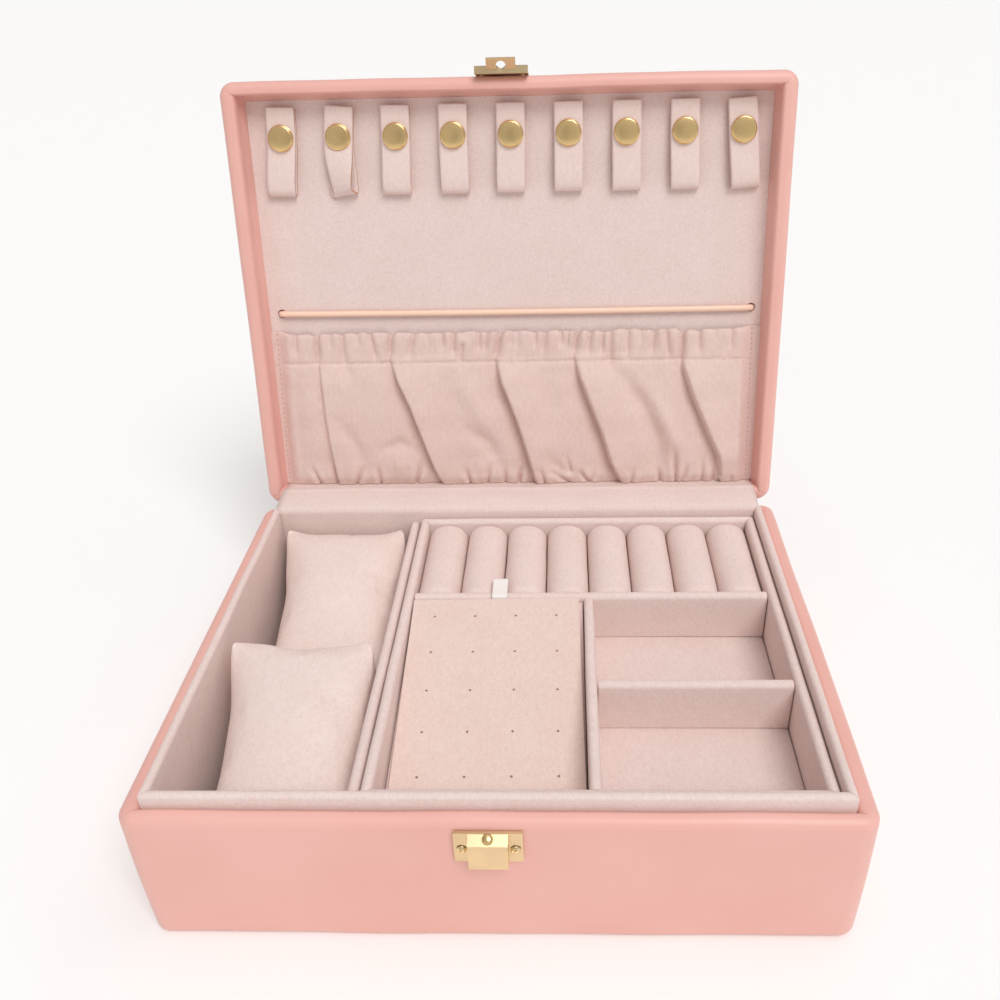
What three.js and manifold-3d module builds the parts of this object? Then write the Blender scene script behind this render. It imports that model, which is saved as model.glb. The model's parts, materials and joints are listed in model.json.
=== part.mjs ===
// Leather jewellery case, standing open.
// Millimetres. X right, Y back, Z up. The origin is the centre of the base's underside.
import * as THREE from 'three';
import { mergeVertices } from 'three/addons/utils/BufferGeometryUtils.js';
import Module from 'manifold-3d';

const wasm = await Module();
wasm.setup();

// ---- Driving dimensions ----
const gap = 0.3; // clearance between pieces that touch

// base, a leather-wrapped board box
const caseWidth = 270;
const caseDepth = 209;
const baseHeight = 66;
const baseFloor = 3;
const sideWall = 7.7;
const frontWall = 6.2;
const backWall = 9;
const planRadius = 7; // vertical corners of base and lid
const edgeRadius = 4; // padded horizontal edges of base and lid

// fabric-wrapped lining frame that stands proud of the base rim
const linerThickness = 3.6;
const linerTop = 71.5;
const linerFloorThickness = 1.8;

// lid, hinged at the back; it leans back on its hinges' stops
const lidHeight = 26;
const lidSideWall = 7.4;
const lidFrontWall = 6.1;
const lidBackWall = 7.5;
const lidRecess = 12; // rim to lining panel
const lidPanelThickness = 2.2;
const openAngle = THREE.MathUtils.degToRad(102);
const rimGap = 0.3; // between the closed rims
const hingeY = 106.1;
const hingeZ = 63.3;

// butt hinges under the leather spine
const hingeX = 78; // from the middle to each hinge
const hingeWidth = 32;
const leafHeight = 11;
const leafThickness = 0.8;
const knuckleRadius = 1.5;
const hingePinRadius = 0.7;
const pinClearance = 0.06;
const knuckleGap = 0.4;
const leafTab = 1; // overlap of a knuckle's tab with its plate

// fabric flap and leather spine that bridge the hinge
const flapHalfWidth = 125.5;
const flapThickness = 0.8;
const spineHalfWidth = 121;
const spineThickness = 1;
const spineStand = 2; // the back face to the middle of the spine

// clasp
const claspX = -2;
const claspWidth = 24.6;
const claspPlateThickness = 1.2;
const claspPlateBottom = 47.2;
const claspPlateTop = 62;
const claspBlockWidth = 14.2;
const claspBlockDepth = 5; // from the front face of the case
const claspBlockBreak = 59.3; // height where the sloped top meets the front
const studRadius = 1.8;
const studRise = 1.6; // above the sloped face
const studDepth = 1.5; // inside the block
const screwSpacing = 19.2;
const screwHeadRadius = 1.9;
const screwHeadRise = 0.9;
const screwShankRadius = 0.9;
const screwHoleRadius = 1.2;
const screwLength = 4.2;
const claspScrewZ = 53.8;
const haspPlateTop = 77;
const haspBarDepth = 3.4;
const haspBarHeight = 1.5;
const haspHoleRadius = 2.3;
const haspScrewZ = 71.4;
const haspTongueRise = 0.9; // tongue above the clasp's sloped face
const haspTongueThickness = 1.2;

// tray
const partitionX = -54.5; // left face of the fixed partition
const partitionThickness = 4.3;
const partitionTop = 64.5;
const trayLeft = -49;
const trayWall = 4.4;
const trayBottom = 40;
const trayTop = 67;
const trayFloorThickness = 2.2;
const trayGap = 0.5; // around the lift-out tray
const riserThickness = 3;
const dividerTop = 66;
const ringDividerFront = 23.4;
const ringDividerThickness = 5;
const plateDividerLeft = 34;
const plateDividerThickness = 4.4;
const crossDividerFront = -35.8;
const crossDividerThickness = 4.8;
const ringRollCount = 8;

// earring plate
const plateTilt = THREE.MathUtils.degToRad(9); // rear edge up, level with the dividers
const plateTurn = THREE.MathUtils.degToRad(0.8);
const plateThickness = 2.4;
const plateWidth = 75.6;
const plateDepth = 112.2;
const plateRear = 22.2; // middle of the rear edge
const plateMiddleY = plateRear - (plateDepth / 2) * Math.cos(plateTilt);
const plateMiddleZ = dividerTop - (plateDepth / 2) * Math.sin(plateTilt);
const plateHoleRadius = 0.6;
const plateHoleColumns = 4;
const plateHoleRows = 5;
const plateHolePitchX = 18.3;
const plateHolePitchY = 20.9;
const plateHoleShift = 4; // the hole grid's middle behind the plate's middle
const plateLedgeWidth = 5;
const ribbonX = -4.6;
const ribbonWidth = 7;
const ribbonThickness = 0.6;

// pillows in the left well
const pillowLift = 3; // above the lining floor
const pillowThickness = 50;
const pillowSlope = 6; // rise from front edge to rear edge
const pillowSideGap = 0.8;
const pillowRounding = 14;
const pillowSplit = -4.4; // Y where the two pillows meet

// lid fittings
const strapCount = 9;
const strapPitch = 27.65;
const strapFirstX = -109.5;
const strapWidth = 13.6;
const strapThickness = 0.9;
const strapStand = 3.3; // lining panel to the strap's front leaf
const strapTopY = -93.4;
const strapFoldY = -53.1;
const snapY = -79.5;
const snapRadius = 6.2;
const snapHeight = 2.3;
const cordY = 4.2;
const cordRadius = 1.5;
const cordLeft = -119.5;
const cordRight = 121;
const cordHoleRadius = 2.2;
const pocketTopY = 13.2;
const pocketThickness = 1;

// ---- Worked-out values ----
const front = -caseDepth / 2;
const back = caseDepth / 2;
const right = caseWidth / 2;
const innerRight = right - sideWall;
const innerFront = front + frontWall;
const innerBack = back - backWall;
const linerRight = innerRight - gap;
const linerFront = innerFront + gap;
const linerBack = innerBack - gap;
const wellRight = linerRight - linerThickness;
const wellFront = linerFront + linerThickness;
const wellBack = linerBack - linerThickness;
const wellFloor = baseFloor + gap + linerFloorThickness;
const lidRim = baseHeight + rimGap;
const lidTop = lidRim + lidHeight;
const lidPanelFace = lidRim + lidRecess;
const trayRight = wellRight - trayGap;
const trayFront = wellFront + trayGap;
const trayBack = wellBack - trayGap;
const trayInLeft = trayLeft + trayWall;
const trayInRight = trayRight - trayWall;
const trayInFront = trayFront + trayWall;
const trayInBack = trayBack - trayWall;
const trayFloorTop = trayBottom + trayFloorThickness;
const claspBlockSlope = { y: front - claspPlateThickness, z: claspPlateTop };
const claspBlockEdge = { y: front - claspBlockDepth, z: claspBlockBreak };

// ---- Finishes ----
const finish = (color, roughness, metalness = 0) =>
  new THREE.MeshStandardMaterial({ color, roughness, metalness });

const leather = finish('#ecbab2', 0.5);
const suede = finish('#e0c8c0', 0.95);
const suedeDark = finish('#d6bcb4', 0.95);
const gold = finish('#d9b978', 0.3, 1);
const satinGold = finish('#d8bf92', 0.4, 1);
const peachCord = finish('#efbd9c', 0.6);
const satinRibbon = finish('#f6efea', 0.35);

// ---- Helpers ----
const object = new THREE.Group();

// lid pieces are placed as if the lid were closed, inside a group that is turned about the hinge line
const lidGroup = new THREE.Group();
lidGroup.position.set(0, hingeY, hingeZ);
lidGroup.rotation.x = -openAngle;
const lidPlace = new THREE.Group();
lidPlace.position.set(0, -hingeY, -hingeZ);
lidGroup.add(lidPlace);
object.add(lidGroup);

function add(name, geometry, material, group = object) {
  const mesh = new THREE.Mesh(geometry, material);
  mesh.name = name;
  group.add(mesh);
  return mesh;
}

function solidOf(geometry) {
  const bare = geometry.clone();
  bare.deleteAttribute('normal');
  bare.deleteAttribute('uv');
  const merged = mergeVertices(bare, 1e-4);
  const mesh = new wasm.Mesh({
    numProp: 3,
    vertProperties: new Float32Array(merged.attributes.position.array),
    triVerts: new Uint32Array(merged.index.array),
  });
  return new wasm.Manifold(mesh);
}

function geometryOf(solid) {
  const mesh = solid.getMesh();
  const geometry = new THREE.BufferGeometry();
  geometry.setAttribute('position', new THREE.BufferAttribute(mesh.vertProperties, 3));
  geometry.setIndex(new THREE.BufferAttribute(mesh.triVerts, 1));
  geometry.computeVertexNormals();
  return geometry;
}

function cut(geometry, ...tools) {
  let solid = solidOf(geometry);
  for (const tool of tools) {
    solid = solid.subtract(solidOf(tool));
  }
  return geometryOf(solid);
}

function join(geometry, ...others) {
  let solid = solidOf(geometry);
  for (const other of others) {
    solid = solid.add(solidOf(other));
  }
  return geometryOf(solid);
}

// box between two limits on each axis
function block([x0, x1], [y0, y1], [z0, z1]) {
  const geometry = new THREE.BoxGeometry(x1 - x0, y1 - y0, z1 - z0);
  geometry.translate((x0 + x1) / 2, (y0 + y1) / 2, (z0 + z1) / 2);
  return geometry;
}

function roundedRect([x0, x1], [y0, y1], radius) {
  const shape = new THREE.Shape();
  shape.moveTo(x0 + radius, y0);
  shape.lineTo(x1 - radius, y0);
  shape.absarc(x1 - radius, y0 + radius, radius, -Math.PI / 2, 0, false);
  shape.lineTo(x1, y1 - radius);
  shape.absarc(x1 - radius, y1 - radius, radius, 0, Math.PI / 2, false);
  shape.lineTo(x0 + radius, y1);
  shape.absarc(x0 + radius, y1 - radius, radius, Math.PI / 2, Math.PI, false);
  shape.lineTo(x0, y0 + radius);
  shape.absarc(x0 + radius, y0 + radius, radius, Math.PI, 1.5 * Math.PI, false);
  return shape;
}

function rectangle([x0, x1], [y0, y1]) {
  return new THREE.Shape([
    new THREE.Vector2(x0, y0),
    new THREE.Vector2(x1, y0),
    new THREE.Vector2(x1, y1),
    new THREE.Vector2(x0, y1),
  ]);
}

// block with rounded vertical corners and rounded top and bottom edges
function paddedBlock(xs, ys, [z0, z1], corner, edge) {
  const geometry = new THREE.ExtrudeGeometry(roundedRect(xs, ys, corner), {
    depth: z1 - z0 - 2 * edge,
    curveSegments: 4,
    bevelEnabled: true,
    bevelThickness: edge,
    bevelSize: edge,
    bevelOffset: -edge,
    bevelSegments: 3,
  });
  geometry.translate(0, 0, z0 + edge);
  return geometry;
}

// upright frame: four walls round a rectangular opening
function frame(xs, ys, [z0, z1], thickness) {
  const shape = rectangle(xs, ys);
  const inner = rectangle(
    [xs[0] + thickness, xs[1] - thickness],
    [ys[0] + thickness, ys[1] - thickness],
  );
  shape.holes.push(new THREE.Path(inner.getPoints()));
  const geometry = new THREE.ExtrudeGeometry(shape, { depth: z1 - z0, bevelEnabled: false });
  geometry.translate(0, 0, z0);
  return geometry;
}

// side outline drawn in Y and Z, carried along X
function alongX(shape, [x0, x1], curveSegments = 6) {
  const geometry = new THREE.ExtrudeGeometry(shape, {
    depth: x1 - x0,
    bevelEnabled: false,
    curveSegments,
  });
  const turn = new THREE.Matrix4().makeBasis(
    new THREE.Vector3(0, 1, 0),
    new THREE.Vector3(0, 0, 1),
    new THREE.Vector3(1, 0, 0),
  );
  geometry.applyMatrix4(turn);
  geometry.translate(x0, 0, 0);
  return geometry;
}

// outline of a sheet of the given thickness that follows a smooth line through points [y, z]
function sheetOutline(points, thickness, steps) {
  const line = new THREE.SplineCurve(points.map(([y, z]) => new THREE.Vector2(y, z)));
  const outer = [];
  const inner = [];
  for (let i = 0; i <= steps; i += 1) {
    const along = line.getPointAt(i / steps);
    const tangent = line.getTangentAt(i / steps);
    const normal = new THREE.Vector2(-tangent.y, tangent.x).multiplyScalar(thickness / 2);
    outer.push(along.clone().add(normal));
    inner.unshift(along.clone().sub(normal));
  }
  return new THREE.Shape([...outer, ...inner]);
}

function rodX(radius, [x0, x1], y, z, sides = 16) {
  const geometry = new THREE.CylinderGeometry(radius, radius, x1 - x0, sides);
  geometry.rotateZ(Math.PI / 2);
  geometry.translate((x0 + x1) / 2, y, z);
  return geometry;
}

function rodY(radius, x, [y0, y1], z, sides = 12) {
  const geometry = new THREE.CylinderGeometry(radius, radius, y1 - y0, sides);
  geometry.translate(x, (y0 + y1) / 2, z);
  return geometry;
}

function rodZ(radius, x, y, [z0, z1], sides = 12) {
  const geometry = new THREE.CylinderGeometry(radius, radius, z1 - z0, sides);
  geometry.rotateX(Math.PI / 2);
  geometry.translate(x, y, (z0 + z1) / 2);
  return geometry;
}

// a point of the closed lid where it lies with the lid open, as [y, z]
function opened(y, z) {
  const cos = Math.cos(openAngle);
  const sin = Math.sin(openAngle);
  return [
    hingeY + (y - hingeY) * cos + (z - hingeZ) * sin,
    hingeZ - (y - hingeY) * sin + (z - hingeZ) * cos,
  ];
}

const screwXs = [claspX - screwSpacing / 2, claspX + screwSpacing / 2];

function screwHoles(z) {
  const depth = [front - claspBlockDepth, front + screwLength];
  return screwXs.map((x) => rodY(screwHoleRadius, x, depth, z));
}

// ---- Base ----
function baseShell() {
  const outside = paddedBlock([-right, right], [front, back], [0, baseHeight], planRadius, edgeRadius);
  const inside = block(
    [-innerRight, innerRight],
    [innerFront, innerBack],
    [baseFloor, baseHeight + 1],
  );
  return cut(outside, inside, ...screwHoles(claspScrewZ));
}

function addBase() {
  add('base_shell', baseShell(), leather);
  add(
    'base_liner',
    frame(
      [-linerRight, linerRight],
      [linerFront, linerBack],
      [baseFloor + gap, linerTop],
      linerThickness,
    ),
    suede,
  );
  add(
    'liner_floor',
    block(
      [-wellRight + gap, wellRight - gap],
      [wellFront + gap, wellBack - gap],
      [baseFloor + gap, wellFloor],
    ),
    suedeDark,
  );
  add(
    'partition_wall',
    block(
      [partitionX, partitionX + partitionThickness],
      [wellFront + gap, wellBack - gap],
      [wellFloor + gap, partitionTop],
    ),
    suede,
  );
  add(
    'tray_riser',
    frame(
      [partitionX + partitionThickness + gap, wellRight - gap],
      [wellFront + gap, wellBack - gap],
      [wellFloor + gap, trayBottom - gap],
      riserThickness,
    ),
    suedeDark,
  );
}

// ---- Hinges ----
// three knuckles share a pin: the outer two on the base leaf, the middle one on the lid leaf
function hingeLeaf(middle, knuckles, zPlate, zTab) {
  const yLeaf = [back + gap, back + gap + leafThickness];
  const half = hingeWidth / 2;
  let leaf = block([middle - half, middle + half], yLeaf, zPlate);
  for (const [x0, x1] of knuckles) {
    leaf = join(
      leaf,
      block([middle + x0, middle + x1], yLeaf, zTab),
      rodX(knuckleRadius, [middle + x0, middle + x1], hingeY, hingeZ),
    );
  }
  const bore = rodX(
    hingePinRadius + pinClearance,
    [middle - hingeWidth, middle + hingeWidth],
    hingeY,
    hingeZ,
  );
  return cut(leaf, bore);
}

function addHinges() {
  const half = hingeWidth / 2;
  const split = hingeWidth / 6;
  const outer = [
    [-half, -split - knuckleGap / 2],
    [split + knuckleGap / 2, half],
  ];
  const inner = [[-split + knuckleGap / 2, split - knuckleGap / 2]];
  const clear = knuckleRadius + knuckleGap;
  for (const [side, middle] of [['left', -hingeX], ['right', hingeX]]) {
    add(
      `hinge_leaf_base_${side}`,
      hingeLeaf(
        middle,
        outer,
        [hingeZ - clear - leafHeight, hingeZ - clear],
        [hingeZ - clear - leafTab, hingeZ],
      ),
      satinGold,
    );
    add(
      `hinge_leaf_lid_${side}`,
      hingeLeaf(
        middle,
        inner,
        [hingeZ + clear, hingeZ + clear + leafHeight],
        [hingeZ, hingeZ + clear + leafTab],
      ),
      satinGold,
      lidPlace,
    );
    add(
      `hinge_pin_${side}`,
      rodX(hingePinRadius, [middle - half, middle + half], hingeY, hingeZ),
      satinGold,
    );
  }
}

// fabric that runs from the lining's back wall over the gap and down the lid's back wall
function hingeFlap() {
  const lift = gap + flapThickness / 2;
  const lidBackInner = back - lidBackWall;
  const path = [
    [wellBack + gap, linerTop + lift],
    [linerBack, linerTop + lift + 0.2],
    [back - 1, linerTop + lift - 0.2],
    opened(lidBackInner - lift - 0.4, lidRim - 0.6),
    opened(lidBackInner - lift, lidRim + 2.5),
    opened(lidBackInner - lift, lidPanelFace - gap - 0.4),
  ];
  return alongX(sheetOutline(path, flapThickness, 18), [-flapHalfWidth, flapHalfWidth]);
}

// leather that covers the hinges from behind
function leatherSpine() {
  const y = back + spineStand;
  const path = [
    [y, 40],
    [y, 50],
    [y + 0.1, 57],
    [y + 3, 60.9],
    opened(y, lidRim + 6),
    opened(y, lidRim + 14),
    opened(y, lidRim + 22),
  ];
  return alongX(sheetOutline(path, spineThickness, 24), [-spineHalfWidth, spineHalfWidth]);
}

// ---- Clasp ----
const slopeLength = Math.hypot(
  claspBlockEdge.y - claspBlockSlope.y,
  claspBlockEdge.z - claspBlockSlope.z,
);
const slopeAlong = {
  y: (claspBlockEdge.y - claspBlockSlope.y) / slopeLength,
  z: (claspBlockEdge.z - claspBlockSlope.z) / slopeLength,
};
const slopeNormal = { y: slopeAlong.z, z: -slopeAlong.y };
const studAlong = 2.1; // from the top of the slope to the stud's centre

// point [y, z] at a distance down the slope and a height above it
function onSlope(along, above) {
  return [
    claspBlockSlope.y + slopeAlong.y * along + slopeNormal.y * above,
    claspBlockSlope.z + slopeAlong.z * along + slopeNormal.z * above,
  ];
}

// rod square to the clasp's sloped face
function slopeRod(radius, low, high, sides = 16) {
  const geometry = new THREE.CylinderGeometry(radius, radius, high - low, sides);
  const tilt = Math.atan2(slopeNormal.z, slopeNormal.y);
  const [y, z] = onSlope(studAlong, (low + high) / 2);
  geometry.rotateX(tilt);
  geometry.translate(claspX, y, z);
  return geometry;
}

function claspBody() {
  const face = front - gap;
  const half = claspWidth / 2;
  const blockHalf = claspBlockWidth / 2;
  const plate = block(
    [claspX - half, claspX + half],
    [face - claspPlateThickness, face],
    [claspPlateBottom, claspPlateTop],
  );
  const outline = new THREE.Shape([
    new THREE.Vector2(face - claspPlateThickness / 2, claspPlateBottom),
    new THREE.Vector2(face - claspPlateThickness / 2, claspPlateTop),
    new THREE.Vector2(...onSlope(0, 0)),
    new THREE.Vector2(...onSlope(slopeLength, 0)),
    new THREE.Vector2(front - claspBlockDepth, claspPlateBottom),
  ]);
  const nose = alongX(outline, [claspX - blockHalf, claspX + blockHalf]);
  const bore = slopeRod(studRadius + gap / 2, -studDepth - studRise, 2);
  return cut(join(plate, nose), bore, ...screwHoles(claspScrewZ));
}

// round-headed stud that springs out of the clasp's sloped face
function catchStud() {
  return slopeRod(studRadius, -studDepth, studRise);
}

// screw along Y whose head rests on the plate; its outline runs from the crown to the shank's end
function screw(x, z) {
  const face = front - 2 * gap - claspPlateThickness;
  const shankEnd = screwLength + face - front;
  const profile = [
    new THREE.Vector2(0, -screwHeadRise),
    new THREE.Vector2(screwHeadRadius * 0.7, -screwHeadRise * 0.83),
    new THREE.Vector2(screwHeadRadius, -screwHeadRise * 0.4),
    new THREE.Vector2(screwHeadRadius, 0),
    new THREE.Vector2(screwShankRadius, 0),
    new THREE.Vector2(screwShankRadius, shankEnd),
    new THREE.Vector2(0, shankEnd),
  ];
  const geometry = new THREE.LatheGeometry(profile, 12);
  geometry.translate(x, face, z);
  return geometry;
}

// lid half: a plate on the lid's front face, a bar across its lower edge and a tongue with a hole
function hasp() {
  const face = front - gap;
  const half = claspWidth / 2;
  const barBottom = claspPlateTop + 0.9;
  const plate = block(
    [claspX - half, claspX + half],
    [face - claspPlateThickness, face],
    [barBottom, haspPlateTop],
  );
  const bar = block(
    [claspX - half, claspX + half],
    [face - haspBarDepth, face],
    [barBottom, barBottom + haspBarHeight],
  );
  const tongueLow = haspTongueRise;
  const tongueHigh = haspTongueRise + haspTongueThickness;
  const outline = new THREE.Shape(
    [
      [0.5, tongueHigh + 0.5],
      [0.5, tongueLow],
      [slopeLength + 0.8, tongueLow],
      [slopeLength + 0.8, tongueHigh],
    ].map(([along, above]) => new THREE.Vector2(...onSlope(along, above))),
  );
  const tongueHalf = claspBlockWidth / 2 - 0.4;
  const tongue = alongX(outline, [claspX - tongueHalf, claspX + tongueHalf]);
  const hole = slopeRod(haspHoleRadius, 0, 5);
  return cut(join(plate, bar, tongue), hole, ...screwHoles(haspScrewZ));
}

function addClasp() {
  add('clasp_body', claspBody(), satinGold);
  add('catch_stud', catchStud(), gold);
  add('hasp_plate', hasp(), satinGold, lidPlace);
  for (const [i, side] of ['left', 'right'].entries()) {
    add(`clasp_screw_${side}`, screw(screwXs[i], claspScrewZ), satinGold);
    add(`hasp_screw_${side}`, screw(screwXs[i], haspScrewZ), satinGold, lidPlace);
  }
}

// ---- Lid ----
function lidShell() {
  const outside = paddedBlock([-right, right], [front, back], [lidRim, lidTop], planRadius, edgeRadius);
  const recess = block(
    [-right + lidSideWall, right - lidSideWall],
    [front + lidFrontWall, back - lidBackWall],
    [lidRim - 1, lidPanelFace + lidPanelThickness + gap],
  );
  return cut(outside, recess, ...screwHoles(haspScrewZ));
}

function lidPanel() {
  const shape = rectangle(
    [-right + lidSideWall + gap, right - lidSideWall - gap],
    [front + lidFrontWall + gap, back - lidBackWall - gap],
  );
  for (const x of [cordLeft, cordRight]) {
    const hole = new THREE.Path();
    hole.absarc(x, cordY, cordHoleRadius, 0, 2 * Math.PI, true);
    shape.holes.push(hole);
  }
  const geometry = new THREE.ExtrudeGeometry(shape, {
    depth: lidPanelThickness,
    bevelEnabled: false,
    curveSegments: 6,
  });
  geometry.translate(0, 0, lidPanelFace);
  return geometry;
}

// cord that leaves one hole, crosses the panel and enters the other
function elasticCord() {
  const z = lidPanelFace - gap - cordRadius;
  const inside = lidPanelFace + lidPanelThickness - gap;
  return join(
    rodX(cordRadius, [cordLeft - cordRadius / 2, cordRight + cordRadius / 2], cordY, z, 10),
    rodZ(cordRadius, cordLeft, cordY, [z, inside], 10),
    rodZ(cordRadius, cordRight, cordY, [z, inside], 10),
  );
}

// pouch sheet, closed against the panel along the bottom and standing off it at the top
function lidPocket() {
  const near = lidPanelFace - gap - pocketThickness / 2;
  const bottom = back - lidBackWall - 2.6;
  const path = [
    [bottom, near],
    [bottom - 6, near - 1.6],
    [bottom - 30, near - 3],
    [pocketTopY + 20, near - 3],
    [pocketTopY, near - 2.2],
  ];
  const half = right - lidSideWall - 1.6;
  return alongX(sheetOutline(path, pocketThickness, 16), [-half, half]);
}

function snapCap(x) {
  const profile = [
    new THREE.Vector2(0, 0),
    new THREE.Vector2(snapRadius, 0),
    new THREE.Vector2(snapRadius, 0.5),
    new THREE.Vector2(snapRadius * 0.86, snapHeight * 0.62),
    new THREE.Vector2(snapRadius * 0.5, snapHeight * 0.92),
    new THREE.Vector2(0, snapHeight),
  ];
  const geometry = new THREE.LatheGeometry(profile, 20);
  geometry.rotateX(-Math.PI / 2);
  geometry.translate(x, snapY, lidPanelFace - strapStand - strapThickness - gap);
  return geometry;
}

function addLid() {
  add('lid_shell', lidShell(), leather, lidPlace);
  add('lid_lining_panel', lidPanel(), suede, lidPlace);
  add('elastic_cord', elasticCord(), peachCord, lidPlace);
  add('lid_pocket', lidPocket(), suede, lidPlace);
  for (let i = 0; i < strapCount; i += 1) {
    const x = strapFirstX + i * strapPitch;
    const leaf = block(
      [x - strapWidth / 2, x + strapWidth / 2],
      [strapTopY, strapFoldY],
      [lidPanelFace - strapStand - strapThickness, lidPanelFace - strapStand],
    );
    add(`strap_${i + 1}`, leaf, suede, lidPlace);
    add(`snap_cap_${i + 1}`, snapCap(x), gold, lidPlace);
  }
}

// ---- Tray ----
function ringRoll(index) {
  const pitch = (trayInRight - trayInLeft) / ringRollCount;
  const x0 = trayInLeft + index * pitch + gap / 2;
  const x1 = x0 + pitch - gap;
  const radius = (x1 - x0) / 2;
  const bottom = trayFloorTop + gap;
  const shape = new THREE.Shape();
  shape.moveTo(x0, bottom);
  shape.lineTo(x1, bottom);
  shape.lineTo(x1, dividerTop - radius);
  shape.absarc(x0 + radius, dividerTop - radius, radius, 0, Math.PI, false);
  shape.lineTo(x0, bottom);
  const y0 = ringDividerFront + ringDividerThickness + gap;
  const y1 = trayInBack - gap;
  const geometry = new THREE.ExtrudeGeometry(shape, {
    depth: y1 - y0,
    bevelEnabled: false,
    curveSegments: 8,
  });
  geometry.rotateX(Math.PI / 2);
  geometry.translate(0, y1, 0);
  return geometry;
}

function addTray() {
  const floor = trayFloorTop + gap;
  add(
    'tray_frame',
    frame([trayLeft, trayRight], [trayFront, trayBack], [trayBottom, trayTop], trayWall),
    suede,
  );
  add(
    'tray_floor',
    block(
      [trayInLeft + gap, trayInRight - gap],
      [trayInFront + gap, trayInBack - gap],
      [trayBottom, trayFloorTop],
    ),
    suedeDark,
  );
  add(
    'ring_divider',
    block(
      [trayInLeft + gap, trayInRight - gap],
      [ringDividerFront, ringDividerFront + ringDividerThickness],
      [floor, dividerTop],
    ),
    suede,
  );
  add(
    'plate_divider',
    block(
      [plateDividerLeft, plateDividerLeft + plateDividerThickness],
      [trayInFront + gap, ringDividerFront - gap],
      [floor, dividerTop],
    ),
    suede,
  );
  add(
    'cross_divider',
    block(
      [plateDividerLeft + plateDividerThickness + gap, trayInRight - gap],
      [crossDividerFront, crossDividerFront + crossDividerThickness],
      [floor, dividerTop],
    ),
    suede,
  );
  add('plate_ledge', plateLedge(floor), suedeDark);
  for (let i = 0; i < ringRollCount; i += 1) {
    add(`ring_roll_${i + 1}`, ringRoll(i), suede);
  }
}

// frame whose top slopes with the underside of the earring plate
function plateLedge(floor) {
  const ledge = frame(
    [trayInLeft + gap, plateDividerLeft - gap],
    [trayInFront + gap, ringDividerFront - gap],
    [floor, dividerTop],
    plateLedgeWidth,
  );
  return cut(ledge, onPlate(block([-60, 60], [-80, 80], [-plateThickness - gap, 60])));
}

// ---- Earring plate ----
// shape drawn about the middle of the plate's top face, tilted and turned to its place
function onPlate(geometry) {
  geometry.rotateX(plateTilt);
  geometry.rotateZ(plateTurn);
  geometry.translate((trayInLeft + plateDividerLeft) / 2, plateMiddleY, plateMiddleZ);
  return geometry;
}

function earringPlate() {
  const shape = rectangle([-plateWidth / 2, plateWidth / 2], [-plateDepth / 2, plateDepth / 2]);
  for (let column = 0; column < plateHoleColumns; column += 1) {
    for (let row = 0; row < plateHoleRows; row += 1) {
      const hole = new THREE.Path();
      const x = (column - (plateHoleColumns - 1) / 2) * plateHolePitchX;
      const y = plateHoleShift + (row - (plateHoleRows - 1) / 2) * plateHolePitchY;
      hole.absarc(x, y, plateHoleRadius, 0, 2 * Math.PI, true);
      shape.holes.push(hole);
    }
  }
  const geometry = new THREE.ExtrudeGeometry(shape, {
    depth: plateThickness,
    bevelEnabled: false,
    curveSegments: 4,
  });
  geometry.translate(0, 0, -plateThickness);
  return onPlate(geometry);
}

// ribbon tab on the plate's rear edge, laid back over the divider
function pullRibbon() {
  const path = [
    [ringDividerFront - 3.4, dividerTop + 0.2],
    [ringDividerFront - 1.2, dividerTop + 0.7],
    [ringDividerFront + 1, dividerTop + 1.1],
    [ringDividerFront + 5, dividerTop + 1.2],
    [ringDividerFront + 12, dividerTop + 1.6],
  ];
  const xs = [ribbonX - ribbonWidth / 2, ribbonX + ribbonWidth / 2];
  return alongX(sheetOutline(path, ribbonThickness, 20), xs);
}

function addEarringPlate() {
  add('earring_plate', earringPlate(), suedeDark);
  add('pull_ribbon', pullRibbon(), satinRibbon);
}

// ---- Pillows ----
// side outline of a cushion that rises from its front edge to its rear edge
function pillow([y0, y1]) {
  const low = wellFloor + pillowLift;
  const high = low + pillowThickness;
  const r = pillowRounding;
  const shape = new THREE.Shape();
  shape.moveTo(y0 + r, low);
  shape.lineTo(y1 - r, low);
  shape.quadraticCurveTo(y1, low, y1, low + r);
  shape.lineTo(y1, high + pillowSlope - r);
  shape.quadraticCurveTo(y1, high + pillowSlope, y1 - r, high + pillowSlope);
  shape.lineTo(y0 + r, high);
  shape.quadraticCurveTo(y0, high, y0, high - r);
  shape.lineTo(y0, low + r);
  shape.quadraticCurveTo(y0, low, y0 + r, low);
  return alongX(shape, [-wellRight + pillowSideGap, partitionX - pillowSideGap]);
}

function addPillows() {
  add('pillow_front', pillow([wellFront + pillowSideGap, pillowSplit - pillowSideGap]), suede);
  add('pillow_rear', pillow([pillowSplit + pillowSideGap, wellBack - pillowSideGap]), suede);
}

addBase();
addHinges();
add('hinge_flap', hingeFlap(), suede);
add('leather_spine', leatherSpine(), leather);
addClasp();
addLid();
addTray();
addEarringPlate();
addPillows();

export default object;
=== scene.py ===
import json

import bmesh
import bpy
import numpy as np
from mathutils import Matrix, Vector


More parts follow.
